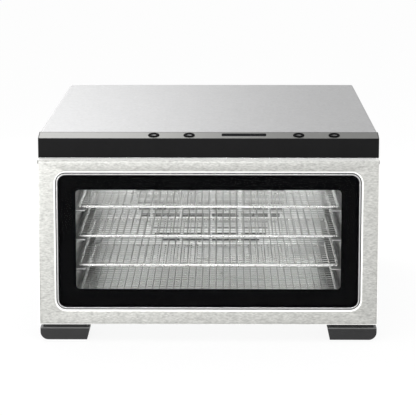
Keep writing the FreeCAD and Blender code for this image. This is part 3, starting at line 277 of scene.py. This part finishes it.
# ---- finishes ----
def brushed_steel(name, colour, across, roughness, contrast, edge_tint=outer_edge_tint, painted_highlight_mask=None):
    """Stainless sheet brushed in short dashes; across is the axis that its hairlines repeat along.

    Where a mask function is given, a near-white, less metallic painted highlight replaces the brushed
    grey where its pattern is one.
    """
    tint = (edge_tint, edge_tint, edge_tint, 1.0)
    material, tree = finish(name, {"Metallic": 1.0, "Specular Tint": tint})
    fine = [steel_hairlines if axis == across else steel_dashes for axis in "XYZ"]
    soft = [steel_hairlines / 3 if axis == across else steel_dashes / 2 for axis in "XYZ"]
    grain = sum_of(tree, noise(tree, fine), noise(tree, soft, detail=2.0), share=0.45)
    grey = shades(tree, grain, *around(colour, contrast))
    # painted highlight: near-white and less metallic where the mask is one
    if painted_highlight_mask is not None:
        highlit = painted_highlight_mask(tree)
        grey = two_tone(tree, highlit, grey, painted_highlight_grey)
        feed(tree, Metallic=spread(tree, highlit, 1.0, painted_highlight_metallic, 0.0, 1.0))
    smooth, rough = roughness - steel_roughness_swing, roughness + steel_roughness_swing
    feed(tree, Base_Color=grey, Roughness=spread(tree, grain, smooth, rough),
         Normal=bump(tree, grain, steel_relief))
    return material


def door_painted_highlight(tree):
    """One where the door's sheet gets its painted highlight: the recess round the glass and the top fold.
    """
    low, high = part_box("door_skin")
    at_top = past(tree, "Z", high.z - top_fold)
    start = spread(tree, at_top, low.y + recess_start, low.y + top_start, 0.0, 1.0)
    inputs = {0: along(tree, "Y"), 1: start}
    beyond = add(tree, "ShaderNodeMath", inputs, operation="SUBTRACT").outputs[0]
    return spread(tree, beyond, 0.0, 1.0, 0.0, edge_blend)


def galvanised_steel(name, colour):
    """Zinc coated sheet with its faint spangle."""
    material, tree = finish(name, {"Metallic": 1.0})
    spangle = cells(tree, even(110.0))["Color"]
    grey = add(tree, "ShaderNodeRGBToBW", {"Color": spangle}).outputs["Val"]
    mixed = sum_of(tree, grey, noise(tree, even(500.0)), share=0.6)
    feed(tree, Base_Color=shades(tree, mixed, *around(colour, 0.10), start=0.1, end=0.9),
         Roughness=spread(tree, mixed, low=0.36, high=0.50, start=0.1, end=0.9),
         Normal=bump(tree, mixed, fine_relief))
    return material


def machined_metal(name, colour, roughness=0.3, metallic=1.0):
    """Plain turned or pressed metal with a fine even grain."""
    material, tree = finish(name, {"Metallic": metallic})
    grain = noise(tree, even(900.0), detail=4.0)
    stains = noise(tree, even(60.0), detail=2.0)
    mixed = sum_of(tree, stains, grain, share=0.7)
    feed(tree, Base_Color=shades(tree, mixed, *around(colour, 0.12)),
         Roughness=spread(tree, mixed, roughness - 0.07, roughness + 0.09),
         Normal=bump(tree, grain, fine_relief))
    return material


def chrome(name, colour, roughness, relief, painted_shade_behind=None):
    """Bright plating with faint polishing marks; past a depth in Y it can turn into painted shade."""
    material, tree = finish(name, {"Metallic": 1.0})
    marks = noise(tree, even(260.0), detail=5.0)
    plating = shades(tree, marks, *around(colour, 0.04))
    # painted shade: near-black past the given depth in Y
    if painted_shade_behind is not None:
        plating = two_tone(tree, past(tree, "Y", painted_shade_behind, trim_blend), plating, trim_shadow)
    feed(tree, Base_Color=plating,
         Roughness=spread(tree, marks, roughness - 0.03, roughness + 0.05),
         Normal=bump(tree, marks, relief))
    return material


def moulded_plastic(name, colour, roughness, specular, texture=moulded_texture, relief=moulded_relief):
    """Injection moulded plastic with a fine spark-eroded texture and light handling marks."""
    material, tree = finish(name, {"Specular IOR Level": specular})
    stipple = noise(tree, even(texture), detail=2.0)
    handling = noise(tree, even(40.0))
    mixed = sum_of(tree, stipple, handling, share=0.8)
    feed(tree, Base_Color=shades(tree, mixed, *around(colour, 0.18)),
         Roughness=spread(tree, mixed, roughness - 0.07, roughness + 0.07),
         Normal=bump(tree, stipple, relief))
    return material


def foot_plastic(name, colour):
    """Moulded plastic with a painted highlight along the foot's rim and painted shade on the neck above
    it.
    """
    material = moulded_plastic(name, colour, roughness=0.4, specular=0.4)
    tree = material.node_tree
    body = tree.nodes["Principled BSDF"].inputs["Base Color"].links[0].from_socket
    # painted highlight on the rim band, then painted shade on the neck above it
    rim_highlit = two_tone(tree, past(tree, "Z", foot_rim_low), body, foot_rim_painted_highlight)
    feed(tree, Base_Color=two_tone(tree, past(tree, "Z", foot_rim_top), rim_highlit, foot_neck_painted_shade))
    return material


def enamel(name, colour, roughness, specular):
    """Smooth glossy coat with a slight ripple."""
    material, tree = finish(name, {"Specular IOR Level": specular})
    ripple = noise(tree, even(90.0), detail=2.0)
    feed(tree, Base_Color=shades(tree, ripple, *around(colour, 0.12)),
         Roughness=spread(tree, ripple, roughness - 0.03, roughness + 0.04),
         Normal=bump(tree, ripple, fine_relief))
    return material


def clear_glass(name, tint):
    """Flat polished glass: mostly see-through, with a faint tint and wipe marks in its gloss."""
    inputs = {"Alpha": glass_cover, "IOR": 1.5, "Transmission Weight": 1.0, "Specular IOR Level": 0.4}
    material, tree = finish(name, inputs)
    wipes = noise(tree, (14.0, 14.0, 50.0))
    feed(tree, Base_Color=shades(tree, wipes, *around(tint, 0.03)),
         Roughness=spread(tree, wipes, low=0.02, high=0.07))
    return material


def rubber(name, colour):
    """Matt silicone with a dusty surface."""
    return moulded_plastic(name, colour, roughness=0.75, specular=0.2, texture=rubber_texture,
                           relief=rubber_relief)


def circuit_board(name, colour):
    """Lacquered board with lighter copper tracks under the lacquer and soldered pads."""
    material, tree = finish(name, {"Specular IOR Level": 0.5, "Roughness": 0.3})
    tracks = cells(tree, even(260.0), "DISTANCE_TO_EDGE")["Distance"]
    pads = cells(tree, even(330.0))["Distance"]
    lighter = tuple(channel * 1.9 for channel in colour)
    lines = shades(tree, tracks, lighter, colour, start=0.04, end=0.09)
    solder = spread(tree, pads, low=1.0, high=0.0, start=0.16, end=0.2)
    feed(tree, Base_Color=two_tone(tree, solder, lines, solder_grey), Metallic=solder,
         Normal=bump(tree, solder, solder_relief))
    return material


def layered(name, dark, light, per_metre, metallic=1.0, roughness=0.4):
    """Stacked sheets or wound wire, in fine bands; per_metre says how close they lie on each axis."""
    material, tree = finish(name, {"Metallic": metallic})
    wave = {"Vector": place(tree, per_metre), "Scale": 1.0, "Distortion": 0.6, "Detail": 2.0}
    bands = add(tree, "ShaderNodeTexWave", wave, bands_direction="DIAGONAL").outputs["Fac"]
    feed(tree, Base_Color=shades(tree, bands, dark, light, start=0.1, end=0.8),
         Roughness=spread(tree, bands, low=roughness + 0.12, high=roughness, start=0.1, end=0.9),
         Normal=bump(tree, bands, winding_relief))
    return material


def heated_sheath(name, colour):
    """Heater tube oxidised in straw and blue-grey patches."""
    material, tree = finish(name, {"Metallic": 0.9})
    patches = noise(tree, even(45.0), detail=4.0)
    straw = (colour[0] * 1.25, colour[1] * 1.1, colour[2] * 0.8)
    blue = (colour[0] * 0.7, colour[1] * 0.78, colour[2] * 0.95)
    feed(tree, Base_Color=shades(tree, patches, blue, straw),
         Roughness=spread(tree, patches, low=0.35, high=0.55),
         Normal=bump(tree, noise(tree, even(800.0)), sheath_relief))
    return material


def slot_colour(name):
    """The record's colour for a material slot."""
    for entry in frame["record"]["materials"]:
        if entry["slot"] == name:
            return tuple(entry["base_color"][:3])
    raise KeyError(name)


def make_finishes():
    """Every material slot's finish, and those of single pieces that differ from their slot's."""
    colour = slot_colour
    return {
        "cover_steel": brushed_steel("cover_steel", (0.45, 0.45, 0.453), across="Y", roughness=0.42,
                                     contrast=0.18),
        "strip_steel": brushed_steel("strip_steel", (0.21, 0.21, 0.203), across="Y", roughness=0.36,
                                     contrast=0.05),
        # the door's recess slope and top fold get a painted highlight
        "door_steel": brushed_steel("door_steel", (0.44, 0.44, 0.421), across="Z", roughness=0.45,
                                    contrast=0.25, painted_highlight_mask=door_painted_highlight),
        "inner_steel": brushed_steel("inner_steel", (0.94, 0.95, 0.94), across="Z", roughness=0.3,
                                     contrast=0.03, edge_tint=1.0),
        "rail_steel": brushed_steel("rail_steel", (0.45, 0.45, 0.45), across="Z", roughness=0.4,
                                    contrast=0.05),
        "galvanised_steel": galvanised_steel("galvanised_steel", colour("galvanised_steel")),
        "fan_chamber_wall": galvanised_steel("chamber_steel", (0.13, 0.13, 0.13)),
        "plain_steel": machined_metal("plain_steel", colour("plain_steel")),
        # the ring round the glass turns to painted shade behind its bright lip
        "trim_chrome": chrome("trim_chrome", (0.5, 0.5, 0.5), roughness=0.22, relief=bright_relief,
                              painted_shade_behind=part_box("door_trim_ring")[0].y + trim_lip),
        "tray_chrome": chrome("tray_chrome", (0.64, 0.64, 0.63), roughness=0.27, relief=bright_relief),
        "tray_wire": chrome("tray_wire", (0.52, 0.52, 0.51), roughness=0.32, relief=wire_relief),
        "button_steel": brushed_steel("button_steel", (0.15, 0.15, 0.15), across="Y", roughness=0.3,
                                      contrast=0.05),
        "button_black": moulded_plastic("button_black", (0.004, 0.004, 0.0042), roughness=0.5,
                                        specular=0.01),
        "fascia_black": moulded_plastic("fascia_black", (0.0055, 0.0055, 0.0058), roughness=0.42,
                                        specular=0.065),
        "foot_black": foot_plastic("foot_black", (0.009, 0.009, 0.0095)),
        "inlet_black": moulded_plastic("inlet_black", colour("inlet_black"), roughness=0.4, specular=0.4),
        "door_glass_clear": clear_glass("door_glass_clear", colour("door_glass_clear")),
        "border_black": enamel("border_black", (0.0008, 0.0008, 0.001), roughness=0.15, specular=0.01),
        "display_smoke": enamel("display_smoke", (0.004, 0.004, 0.005), roughness=0.1, specular=0.005),
        "display_body": moulded_plastic("display_body", colour("display_body"), roughness=0.5,
                                        specular=0.4),
        "board_green": circuit_board("board_green", colour("board_green")),
        "board_parts": moulded_plastic("board_parts", colour("board_parts"), roughness=0.4, specular=0.4),
        "gasket_grey": rubber("gasket_grey", colour("gasket_grey")),
        "magnet_dark": machined_metal("magnet_dark", colour("magnet_dark"), roughness=0.5, metallic=0.0),
        "fan_aluminium": machined_metal("fan_aluminium", colour("fan_aluminium"), roughness=0.32),
        "rotor_steel": layered("rotor_steel", (0.12, 0.12, 0.13), colour("rotor_steel"),
                               (0.0, 800.0, 0.0)),
        "coil_winding": layered("coil_winding", (0.22, 0.08, 0.03), colour("coil_winding"),
                                (500.0, 900.0, 500.0), metallic=0.7, roughness=0.3),
        "bush_brass": machined_metal("bush_brass", colour("bush_brass"), roughness=0.25),
        "heater_sheath": heated_sheath("heater_sheath", colour("heater_sheath")),
        "cutout_ceramic": moulded_plastic("cutout_ceramic", colour("cutout_ceramic"), roughness=0.6,
                                          specular=0.4),
        "harness_sleeve": layered("harness_sleeve", (0.02, 0.02, 0.02), colour("harness_sleeve"),
                                  even(500.0), metallic=0.0, roughness=0.6),
    }


# ---- modifiers for the CAD pieces ----
def smooth_by_angle():
    """Geometry nodes that smooth every face and keep the edges past the sharp angle."""
    group = bpy.data.node_groups.new("smooth_by_angle", "GeometryNodeTree")
    for side in ("INPUT", "OUTPUT"):
        group.interface.new_socket("Geometry", in_out=side, socket_type="NodeSocketGeometry")
    start = add(group, "NodeGroupInput").outputs["Geometry"]
    faces = add(group, "GeometryNodeSetShadeSmooth", {"Geometry": start}).outputs["Geometry"]
    angle = add(group, "GeometryNodeInputMeshEdgeAngle").outputs["Unsigned Angle"]
    sharp = add(group, "FunctionNodeCompare", {"A": angle, "B": sharp_angle}, operation="GREATER_THAN")
    edges = {"Geometry": faces, "Selection": sharp.outputs["Result"], "Shade Smooth": False}
    kept = add(group, "GeometryNodeSetShadeSmooth", edges, domain="EDGE").outputs["Geometry"]
    add(group, "NodeGroupOutput", {"Geometry": kept})
    return group


def dress(node, material, smoothing):
    """Gives a CAD piece its finish, softened edges and smooth curves."""
    piece = frame["nodes"][node]
    for slot in piece.material_slots:
        slot.material = material
    weld = piece.modifiers.new("weld", "WELD")
    weld.merge_threshold = weld_distance
    if node not in slotted_pieces:
        flatten = piece.modifiers.new("flatten", "DECIMATE")
        flatten.decimate_type = "DISSOLVE"
        flatten.angle_limit = flat_angle
    bevel = piece.modifiers.new("bevel", "BEVEL")
    bevel.width = foot_bevel if node.startswith(("foot_front", "foot_rear")) else bevel_width
    bevel.segments = bevel_segments
    bevel.limit_method = "ANGLE"
    bevel.angle_limit = sharp_angle
    shading = piece.modifiers.new("shading", "NODES")
    shading.node_group = smoothing
    piece.modifiers.new("normals", "WEIGHTED_NORMAL").keep_sharp = True


def shrink(node, depth):
    """Moves a piece's faces inwards a little, so that they don't share a plane with another's."""
    settle = frame["nodes"][node].modifiers.new("settle", "DISPLACE")
    settle.strength = -depth
    settle.mid_level = 0.0


# ---- mesh making ----
def sweep(mesh, path, radius, sides, closed=False):
    """Round wire along a level path, added to a mesh; an open one gets flat ends."""
    rings = []
    last = len(path) - 1
    for i, point in enumerate(path):
        before = path[i - 1] if closed or i > 0 else point
        after = path[(i + 1) % len(path)] if closed or i < last else point
        along = (after - before).normalized()
        side = along.cross(Vector((0, 0, 1)))
        up = side.cross(along)
        turns = [2 * math.pi * k / sides for k in range(sides)]
        rings.append([mesh.verts.new(point + radius * (math.cos(t) * side + math.sin(t) * up))
                      for t in turns])
    following = rings[1:] + rings[:1] if closed else rings[1:]
    for ring, after in zip(rings, following):
        for k in range(sides):
            mesh.faces.new((ring[k - 1], ring[k], after[k], after[k - 1]))
    if not closed:
        mesh.faces.new(rings[0])
        mesh.faces.new(rings[-1][::-1])


def lathe(mesh, profile, matrix):
    """Solid of revolution from (radius, height) points, both ends on the axis."""
    rings = []
    for radius, height in profile:
        count = turned_sides if radius > 0 else 1
        turns = [2 * math.pi * k / turned_sides for k in range(count)]
        points = [Vector((radius * math.cos(t), radius * math.sin(t), height)) for t in turns]
        rings.append([mesh.verts.new(matrix @ point) for point in points])
    for low, high in zip(rings, rings[1:]):
        for k in range(turned_sides):
            corners = [low[k - 1 if len(low) > 1 else 0], low[k if len(low) > 1 else 0],
                       high[k if len(high) > 1 else 0], high[k - 1 if len(high) > 1 else 0]]
            distinct = list(dict.fromkeys(corners))
            if len(distinct) > 2:
                mesh.faces.new(distinct)


def piece_from(name, mesh, material, body, slot, *nodes):
    """Turns a finished mesh into a shown piece that stands for the CAD nodes."""
    bmesh.ops.recalc_face_normals(mesh, faces=mesh.faces)
    data = bpy.data.meshes.new(name)
    mesh.to_mesh(data)
    mesh.free()
    data.materials.append(material)
    data.shade_smooth()
    data.set_sharp_from_angle(angle=sharp_angle)
    piece = bpy.data.objects.new(name, data)
    bpy.context.scene.collection.objects.link(piece)
    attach(piece, body)
    if nodes:
        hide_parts(*nodes)
    return piece


# ---- trays ----
def rounded_loop(x0, x1, y0, y1, z, radius, steps):
    """Points of a level rounded rectangle."""
    corners = [(x1 - radius, y1 - radius, 0), (x0 + radius, y1 - radius, 90),
               (x0 + radius, y0 + radius, 180), (x1 - radius, y0 + radius, 270)]
    points = []
    for cx, cy, start in corners:
        for k in range(steps + 1):
            turn = math.radians(start + 90 * k / steps)
            points.append(Vector((cx + radius * math.cos(turn), cy + radius * math.sin(turn), z)))
    return points


def spaced(low, high, spacing):
    """Evenly spaced places between two ends, about a spacing apart."""
    count = round((high - low) / spacing)
    return [low + (high - low) * k / count for k in range(1, count)]


def wire_tray(index, finishes):
    """Welded wire tray: a stout bright border, wires front to back and cross wires under them."""
    node = "tray_%d" % index
    low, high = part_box(node)
    rod = (high.z - low.z) / 2
    z = (low.z + high.z) / 2
    x0, x1, y0, y1 = low.x + rod, high.x - rod, low.y + rod, high.y - rod
    border = bmesh.new()
    outline = rounded_loop(x0, x1, y0, y1, z, tray_corner, tray_corner_steps)
    sweep(border, outline, rod, tray_border_sides, closed=True)
    piece_from("tray_border_%d" % index, border, finishes["tray_chrome"], node, "tray_chrome", node)
    wires = bmesh.new()
    upper = z + tray_wire_rise
    lower = upper - tray_wire_radius - tray_cross_radius
    for x in spaced(x0, x1, tray_wire_spacing):
        ends = [Vector((x, y0, upper)), Vector((x, y1, upper))]
        sweep(wires, ends, tray_wire_radius, tray_wire_sides)
    for y in spaced(y0, y1, tray_cross_spacing):
        ends = [Vector((x0, y, lower)), Vector((x1, y, lower))]
        sweep(wires, ends, tray_cross_radius, tray_wire_sides)
    piece_from("tray_wires_%d" % index, wires, finishes["tray_wire"], node, "tray_chrome", node)


# ---- buttons ----
def on_strip(node):
    """Matrix from a button's own axis, drawn upright, to its place on the sloping strip."""
    low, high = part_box(node)
    strip_low, strip_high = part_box("control_strip")
    y = (strip_low.y + strip_high.y - strip_thickness * math.sin(strip_slope)) / 2
    z = (strip_low.z + strip_high.z + strip_thickness * math.cos(strip_slope)) / 2
    return Matrix.Translation(((low.x + high.x) / 2, y, z)) @ Matrix.Rotation(strip_slope, 4, "X")


def quarter_round(centre_radius, centre_height, radius, steps=4):
    """Points of an outer edge's rounding, from its side to its top."""
    turns = [math.radians(90 * k / steps) for k in range(steps + 1)]
    return [(centre_radius + radius * math.cos(t), centre_height + radius * math.sin(t)) for t in turns]


def push_button(index, finishes):
    """Round push button: a black ring on its flange and stem, and a dished steel cap set in the ring."""
    node = "button_%d" % index
    matrix = on_strip(node)
    flange_low = button_under - button_flange_thickness
    stem_low = flange_low - button_stem_length
    bore = button_radius - button_ring_width
    body = [(0, stem_low), (button_stem_radius, stem_low), (button_stem_radius, flange_low),
            (button_flange_radius, flange_low), (button_flange_radius, button_under),
            (button_radius, button_under)]
    body += quarter_round(button_radius - button_rim, button_height - button_rim, button_rim)
    body += [(bore, button_height), (bore, button_cap_floor), (0, button_cap_floor)]
    ring = bmesh.new()
    lathe(ring, body, matrix)
    piece_from("button_ring_%d" % index, ring, finishes["button_black"], node, "fascia_black", node)
    edge = bore - button_cap_gap
    disc = [(0, button_cap_floor), (edge, button_cap_floor)]
    disc += quarter_round(edge - button_rim, button_cap_height - button_rim, button_rim)
    rim = edge - button_rim
    for k in reversed(range(button_dish_steps)):
        share = k / button_dish_steps
        disc.append((rim * share, button_cap_height - button_dish * (1 - share ** 2)))
    cap = bmesh.new()
    lathe(cap, disc, matrix)
    piece_from("button_cap_%d" % index, cap, finishes["button_steel"], node, "button_steel", node)


# ---- screws ----
def solids_of(node):
    """Low and high corners of each separate solid in a CAD node."""
    mesh = bmesh.new()
    mesh.from_mesh(frame["nodes"][node].data)
    bmesh.ops.remove_doubles(mesh, verts=mesh.verts, dist=weld_distance)
    waiting = set(mesh.verts)
    boxes = []
    while waiting:
        reached = [waiting.pop()]
        for corner in reached:
            near = {edge.other_vert(corner) for edge in corner.link_edges} & waiting
            waiting -= near
            reached.extend(near)
        places = [corner.co for corner in reached]
        boxes.append([Vector([pick(place[axis] for place in places) for axis in range(3)])
                      for pick in (min, max)])
    mesh.free()
    return boxes


def loop_at(mesh, matrix, points, height):
    """Corners of one level loop."""
    return [mesh.verts.new(matrix @ Vector((x, y, height))) for x, y in points]


def circle(radius):
    """Points of a screw's round outline."""
    turns = [2 * math.pi * k / screw_sides for k in range(screw_sides)]
    return [(radius * math.cos(t), radius * math.sin(t)) for t in turns]


def cross(reach, half_width):
    """The twelve points of a cross."""
    points = []
    x_axis, y_axis = (1, 0), (0, 1)
    for _ in range(4):
        for along, aside in ((reach, -half_width), (reach, half_width), (half_width, half_width)):
            points.append((along * x_axis[0] + aside * y_axis[0], along * x_axis[1] + aside * y_axis[1]))
        x_axis, y_axis = y_axis, (-x_axis[0], -x_axis[1])
    return points


def bridge(mesh, low, high):
    """Faces between two loops with as many corners."""
    for k in range(len(low)):
        mesh.faces.new((low[k - 1], low[k], high[k], high[k - 1]))


def rim_edges(mesh, loop):
    """The edges along a closed loop."""
    return [mesh.edges.get((loop[k - 1], loop[k])) for k in range(len(loop))]


def cross_screw(mesh, matrix, head, head_height, shank, length):
    """Cross-recessed screw along its own axis; the top of its head is at nought."""
    rounding = min(screw_rounding, head / 4)
    profile = [(shank, -length), (shank, -head_height), (head, -head_height)]
    profile += quarter_round(head - rounding, -rounding, rounding, screw_rounding_steps)
    rings = [loop_at(mesh, matrix, circle(radius), height) for radius, height in profile]
    for low, high in zip(rings, rings[1:]):
        bridge(mesh, low, high)
    mesh.faces.new(rings[0])
    reach, half_width = screw_recess_reach * head, screw_recess_width * head
    mouth = loop_at(mesh, matrix, cross(reach, half_width), 0.0)
    foot = loop_at(mesh, matrix, cross(reach * screw_recess_taper, half_width * screw_recess_taper),
                   -screw_recess_depth * head)
    bridge(mesh, mouth, foot)
    mesh.faces.new(foot)
    bmesh.ops.triangle_fill(mesh, edges=rim_edges(mesh, rings[-1]) + rim_edges(mesh, mouth),
                            use_beauty=True)


def screws(node, outward, head_height, shank, finishes):
    """The node's screws with their cross recesses, each where the CAD screw stands."""
    mesh = bmesh.new()
    turn = outward.to_track_quat("Z", "Y").to_matrix().to_4x4()
    for low, high in solids_of(node):
        half = (high - low) / 2
        reach = abs(half.dot(outward))
        matrix = Matrix.Translation((low + high) / 2 + outward * reach) @ turn
        cross_screw(mesh, matrix, half.x, head_height, shank, 2 * reach)
    piece_from(node + "_crossed", mesh, finishes["plain_steel"], "root", "plain_steel", node)


# ---- stage ----
def background_rays(tree):
    """One for rays that should see the white background, nought for those that carry light."""
    path = add(tree, "ShaderNodeLightPath").outputs
    seen = add(tree, "ShaderNodeMath", {0: path["Is Camera Ray"], 1: path["Is Glossy Ray"]},
               operation="MAXIMUM").outputs[0]
    return add(tree, "ShaderNodeMath", {0: seen, 1: path["Is Transmission Ray"]},
               operation="MAXIMUM").outputs[0]


def white_world(level):
    """Plain white surroundings that light the object at the given level."""
    world = bpy.data.worlds.new("studio")
    world.use_nodes = True
    tree = world.node_tree
    strength = spread(tree, background_rays(tree), level, 1.0, 0.0, 1.0)
    background = tree.nodes["Background"]
    background.inputs["Color"].default_value = (1.0, 1.0, 1.0, 1.0)
    tree.links.new(strength, background.inputs["Strength"])
    bpy.context.scene.world = world


def white_floor(glow):
    """Plain white floor: a share of it is the background's own white, the rest keeps the shadow."""
    mesh = bmesh.new()
    half = floor_half_size
    mesh.faces.new([mesh.verts.new((x * half, y * half, cad_box[0].z))
                    for x, y in ((-1, -1), (1, -1), (1, 1), (-1, 1))])
    data = bpy.data.meshes.new("floor")
    mesh.to_mesh(data)
    mesh.free()
    material = bpy.data.materials.new("floor_white")
    material.use_nodes = True
    tree = material.node_tree
    tree.nodes.remove(tree.nodes["Principled BSDF"])
    paint = add(tree, "ShaderNodeBsdfDiffuse", {"Color": floor_paint}).outputs[0]
    white = add(tree, "ShaderNodeEmission", {"Strength": 1.0}).outputs[0]
    share = spread(tree, background_rays(tree), 0.0, glow, 0.0, 1.0)
    both = add(tree, "ShaderNodeMixShader", {0: share, 1: paint, 2: white}).outputs[0]
    tree.links.new(both, tree.nodes["Material Output"].inputs["Surface"])
    data.materials.append(material)
    floor = bpy.data.objects.new("floor", data)
    bpy.context.scene.collection.objects.link(floor)


def soft_light(name, where, aim, size, power, fade=1.0):
    """Rectangular soft light turned towards a point; one side can fade to a share of its level."""
    data = bpy.data.lights.new(name, "AREA")
    data.shape = "RECTANGLE"
    data.size, data.size_y = size
    data.energy = power
    light = bpy.data.objects.new(name, data)
    light.location = where
    light.rotation_euler = (Vector(aim) - Vector(where)).to_track_quat("-Z", "Y").to_euler()
    light.visible_camera = False
    bpy.context.scene.collection.objects.link(light)
    if fade < 1.0:
        data.use_nodes = True
        tree = data.node_tree
        across = add(tree, "ShaderNodeNewGeometry").outputs["Parametric"]
        share = add(tree, "ShaderNodeSeparateXYZ", {"Vector": across}).outputs["X"]
        level = spread(tree, share, fade, 1.0, 0.0, 1.0)
        tree.links.new(level, tree.nodes["Emission"].inputs["Strength"])


def set_camera():
    """Camera at the height, distance and angle of a catalogue view."""
    data = bpy.data.cameras.new("camera")
    data.lens = camera_lens
    camera = bpy.data.objects.new("camera", data)
    camera.location = camera_place
    camera.rotation_euler = (camera_tilt, 0.0, camera_heading)
    bpy.context.scene.collection.objects.link(camera)
    bpy.context.scene.camera = camera


# ---- the scene ----
finishes = make_finishes()
smoothing = smooth_by_angle()
for entry in frame["record"]["subparts"]:
    slot_finish = finishes[entry["material_slot"]]
    dress(entry["node"], finishes.get(entry["node"], slot_finish), smoothing)
for index in range(1, tray_count + 1):
    wire_tray(index, finishes)
for index in range(1, button_count + 1):
    push_button(index, finishes)
screws("rear_screws", Vector((0, 1, 0)), rear_head_height, rear_screw_shank, finishes)
screws("foot_screws", Vector((0, 0, -1)), foot_head_height, foot_screw_shank, finishes)

shrink("door_glass_border", enamel_shrink)

set_camera()
white_world(world_level)
white_floor(floor_glow)
soft_light("key", where=(-0.55, -1.3, 0.2), aim=(0, -0.2, 0.1), size=(0.4, 0.35), power=3.8)
soft_light("front", where=(0, -2.0, 0.44), aim=(0, 0, 0.1), size=(0.4, 0.3), power=5.5)
# two narrow lights behind the door frame's upper and lower bars, for the inside
soft_light("cavity_top", where=(0, -0.2, 0.165), aim=(0, 0.1, 0.05), size=(0.26, 0.02), power=0.085)
soft_light("cavity_low", where=(0, -0.202, 0.044), aim=(0, 0.1, 0.1), size=(0.26, 0.012), power=0.06)
soft_light("overhead", where=(0, -0.6, 1.6), aim=(0, -0.1, 0.1), size=(1.4, 1.7), power=8.5)
# the cover's top mirrors these two: bright on the left, fading out to the right
soft_light("rear", where=(-0.27, 0.9, 0.75), aim=(-0.27, 0, 0.3), size=(0.84, 1.2), power=6.4, fade=0.0)
soft_light("rear_high", where=(-0.38, 0.7, 1.05), aim=(-0.05, -0.1, 0.2), size=(0.75, 0.7), power=3.2)
bpy.context.scene.view_settings.view_transform = "Standard"
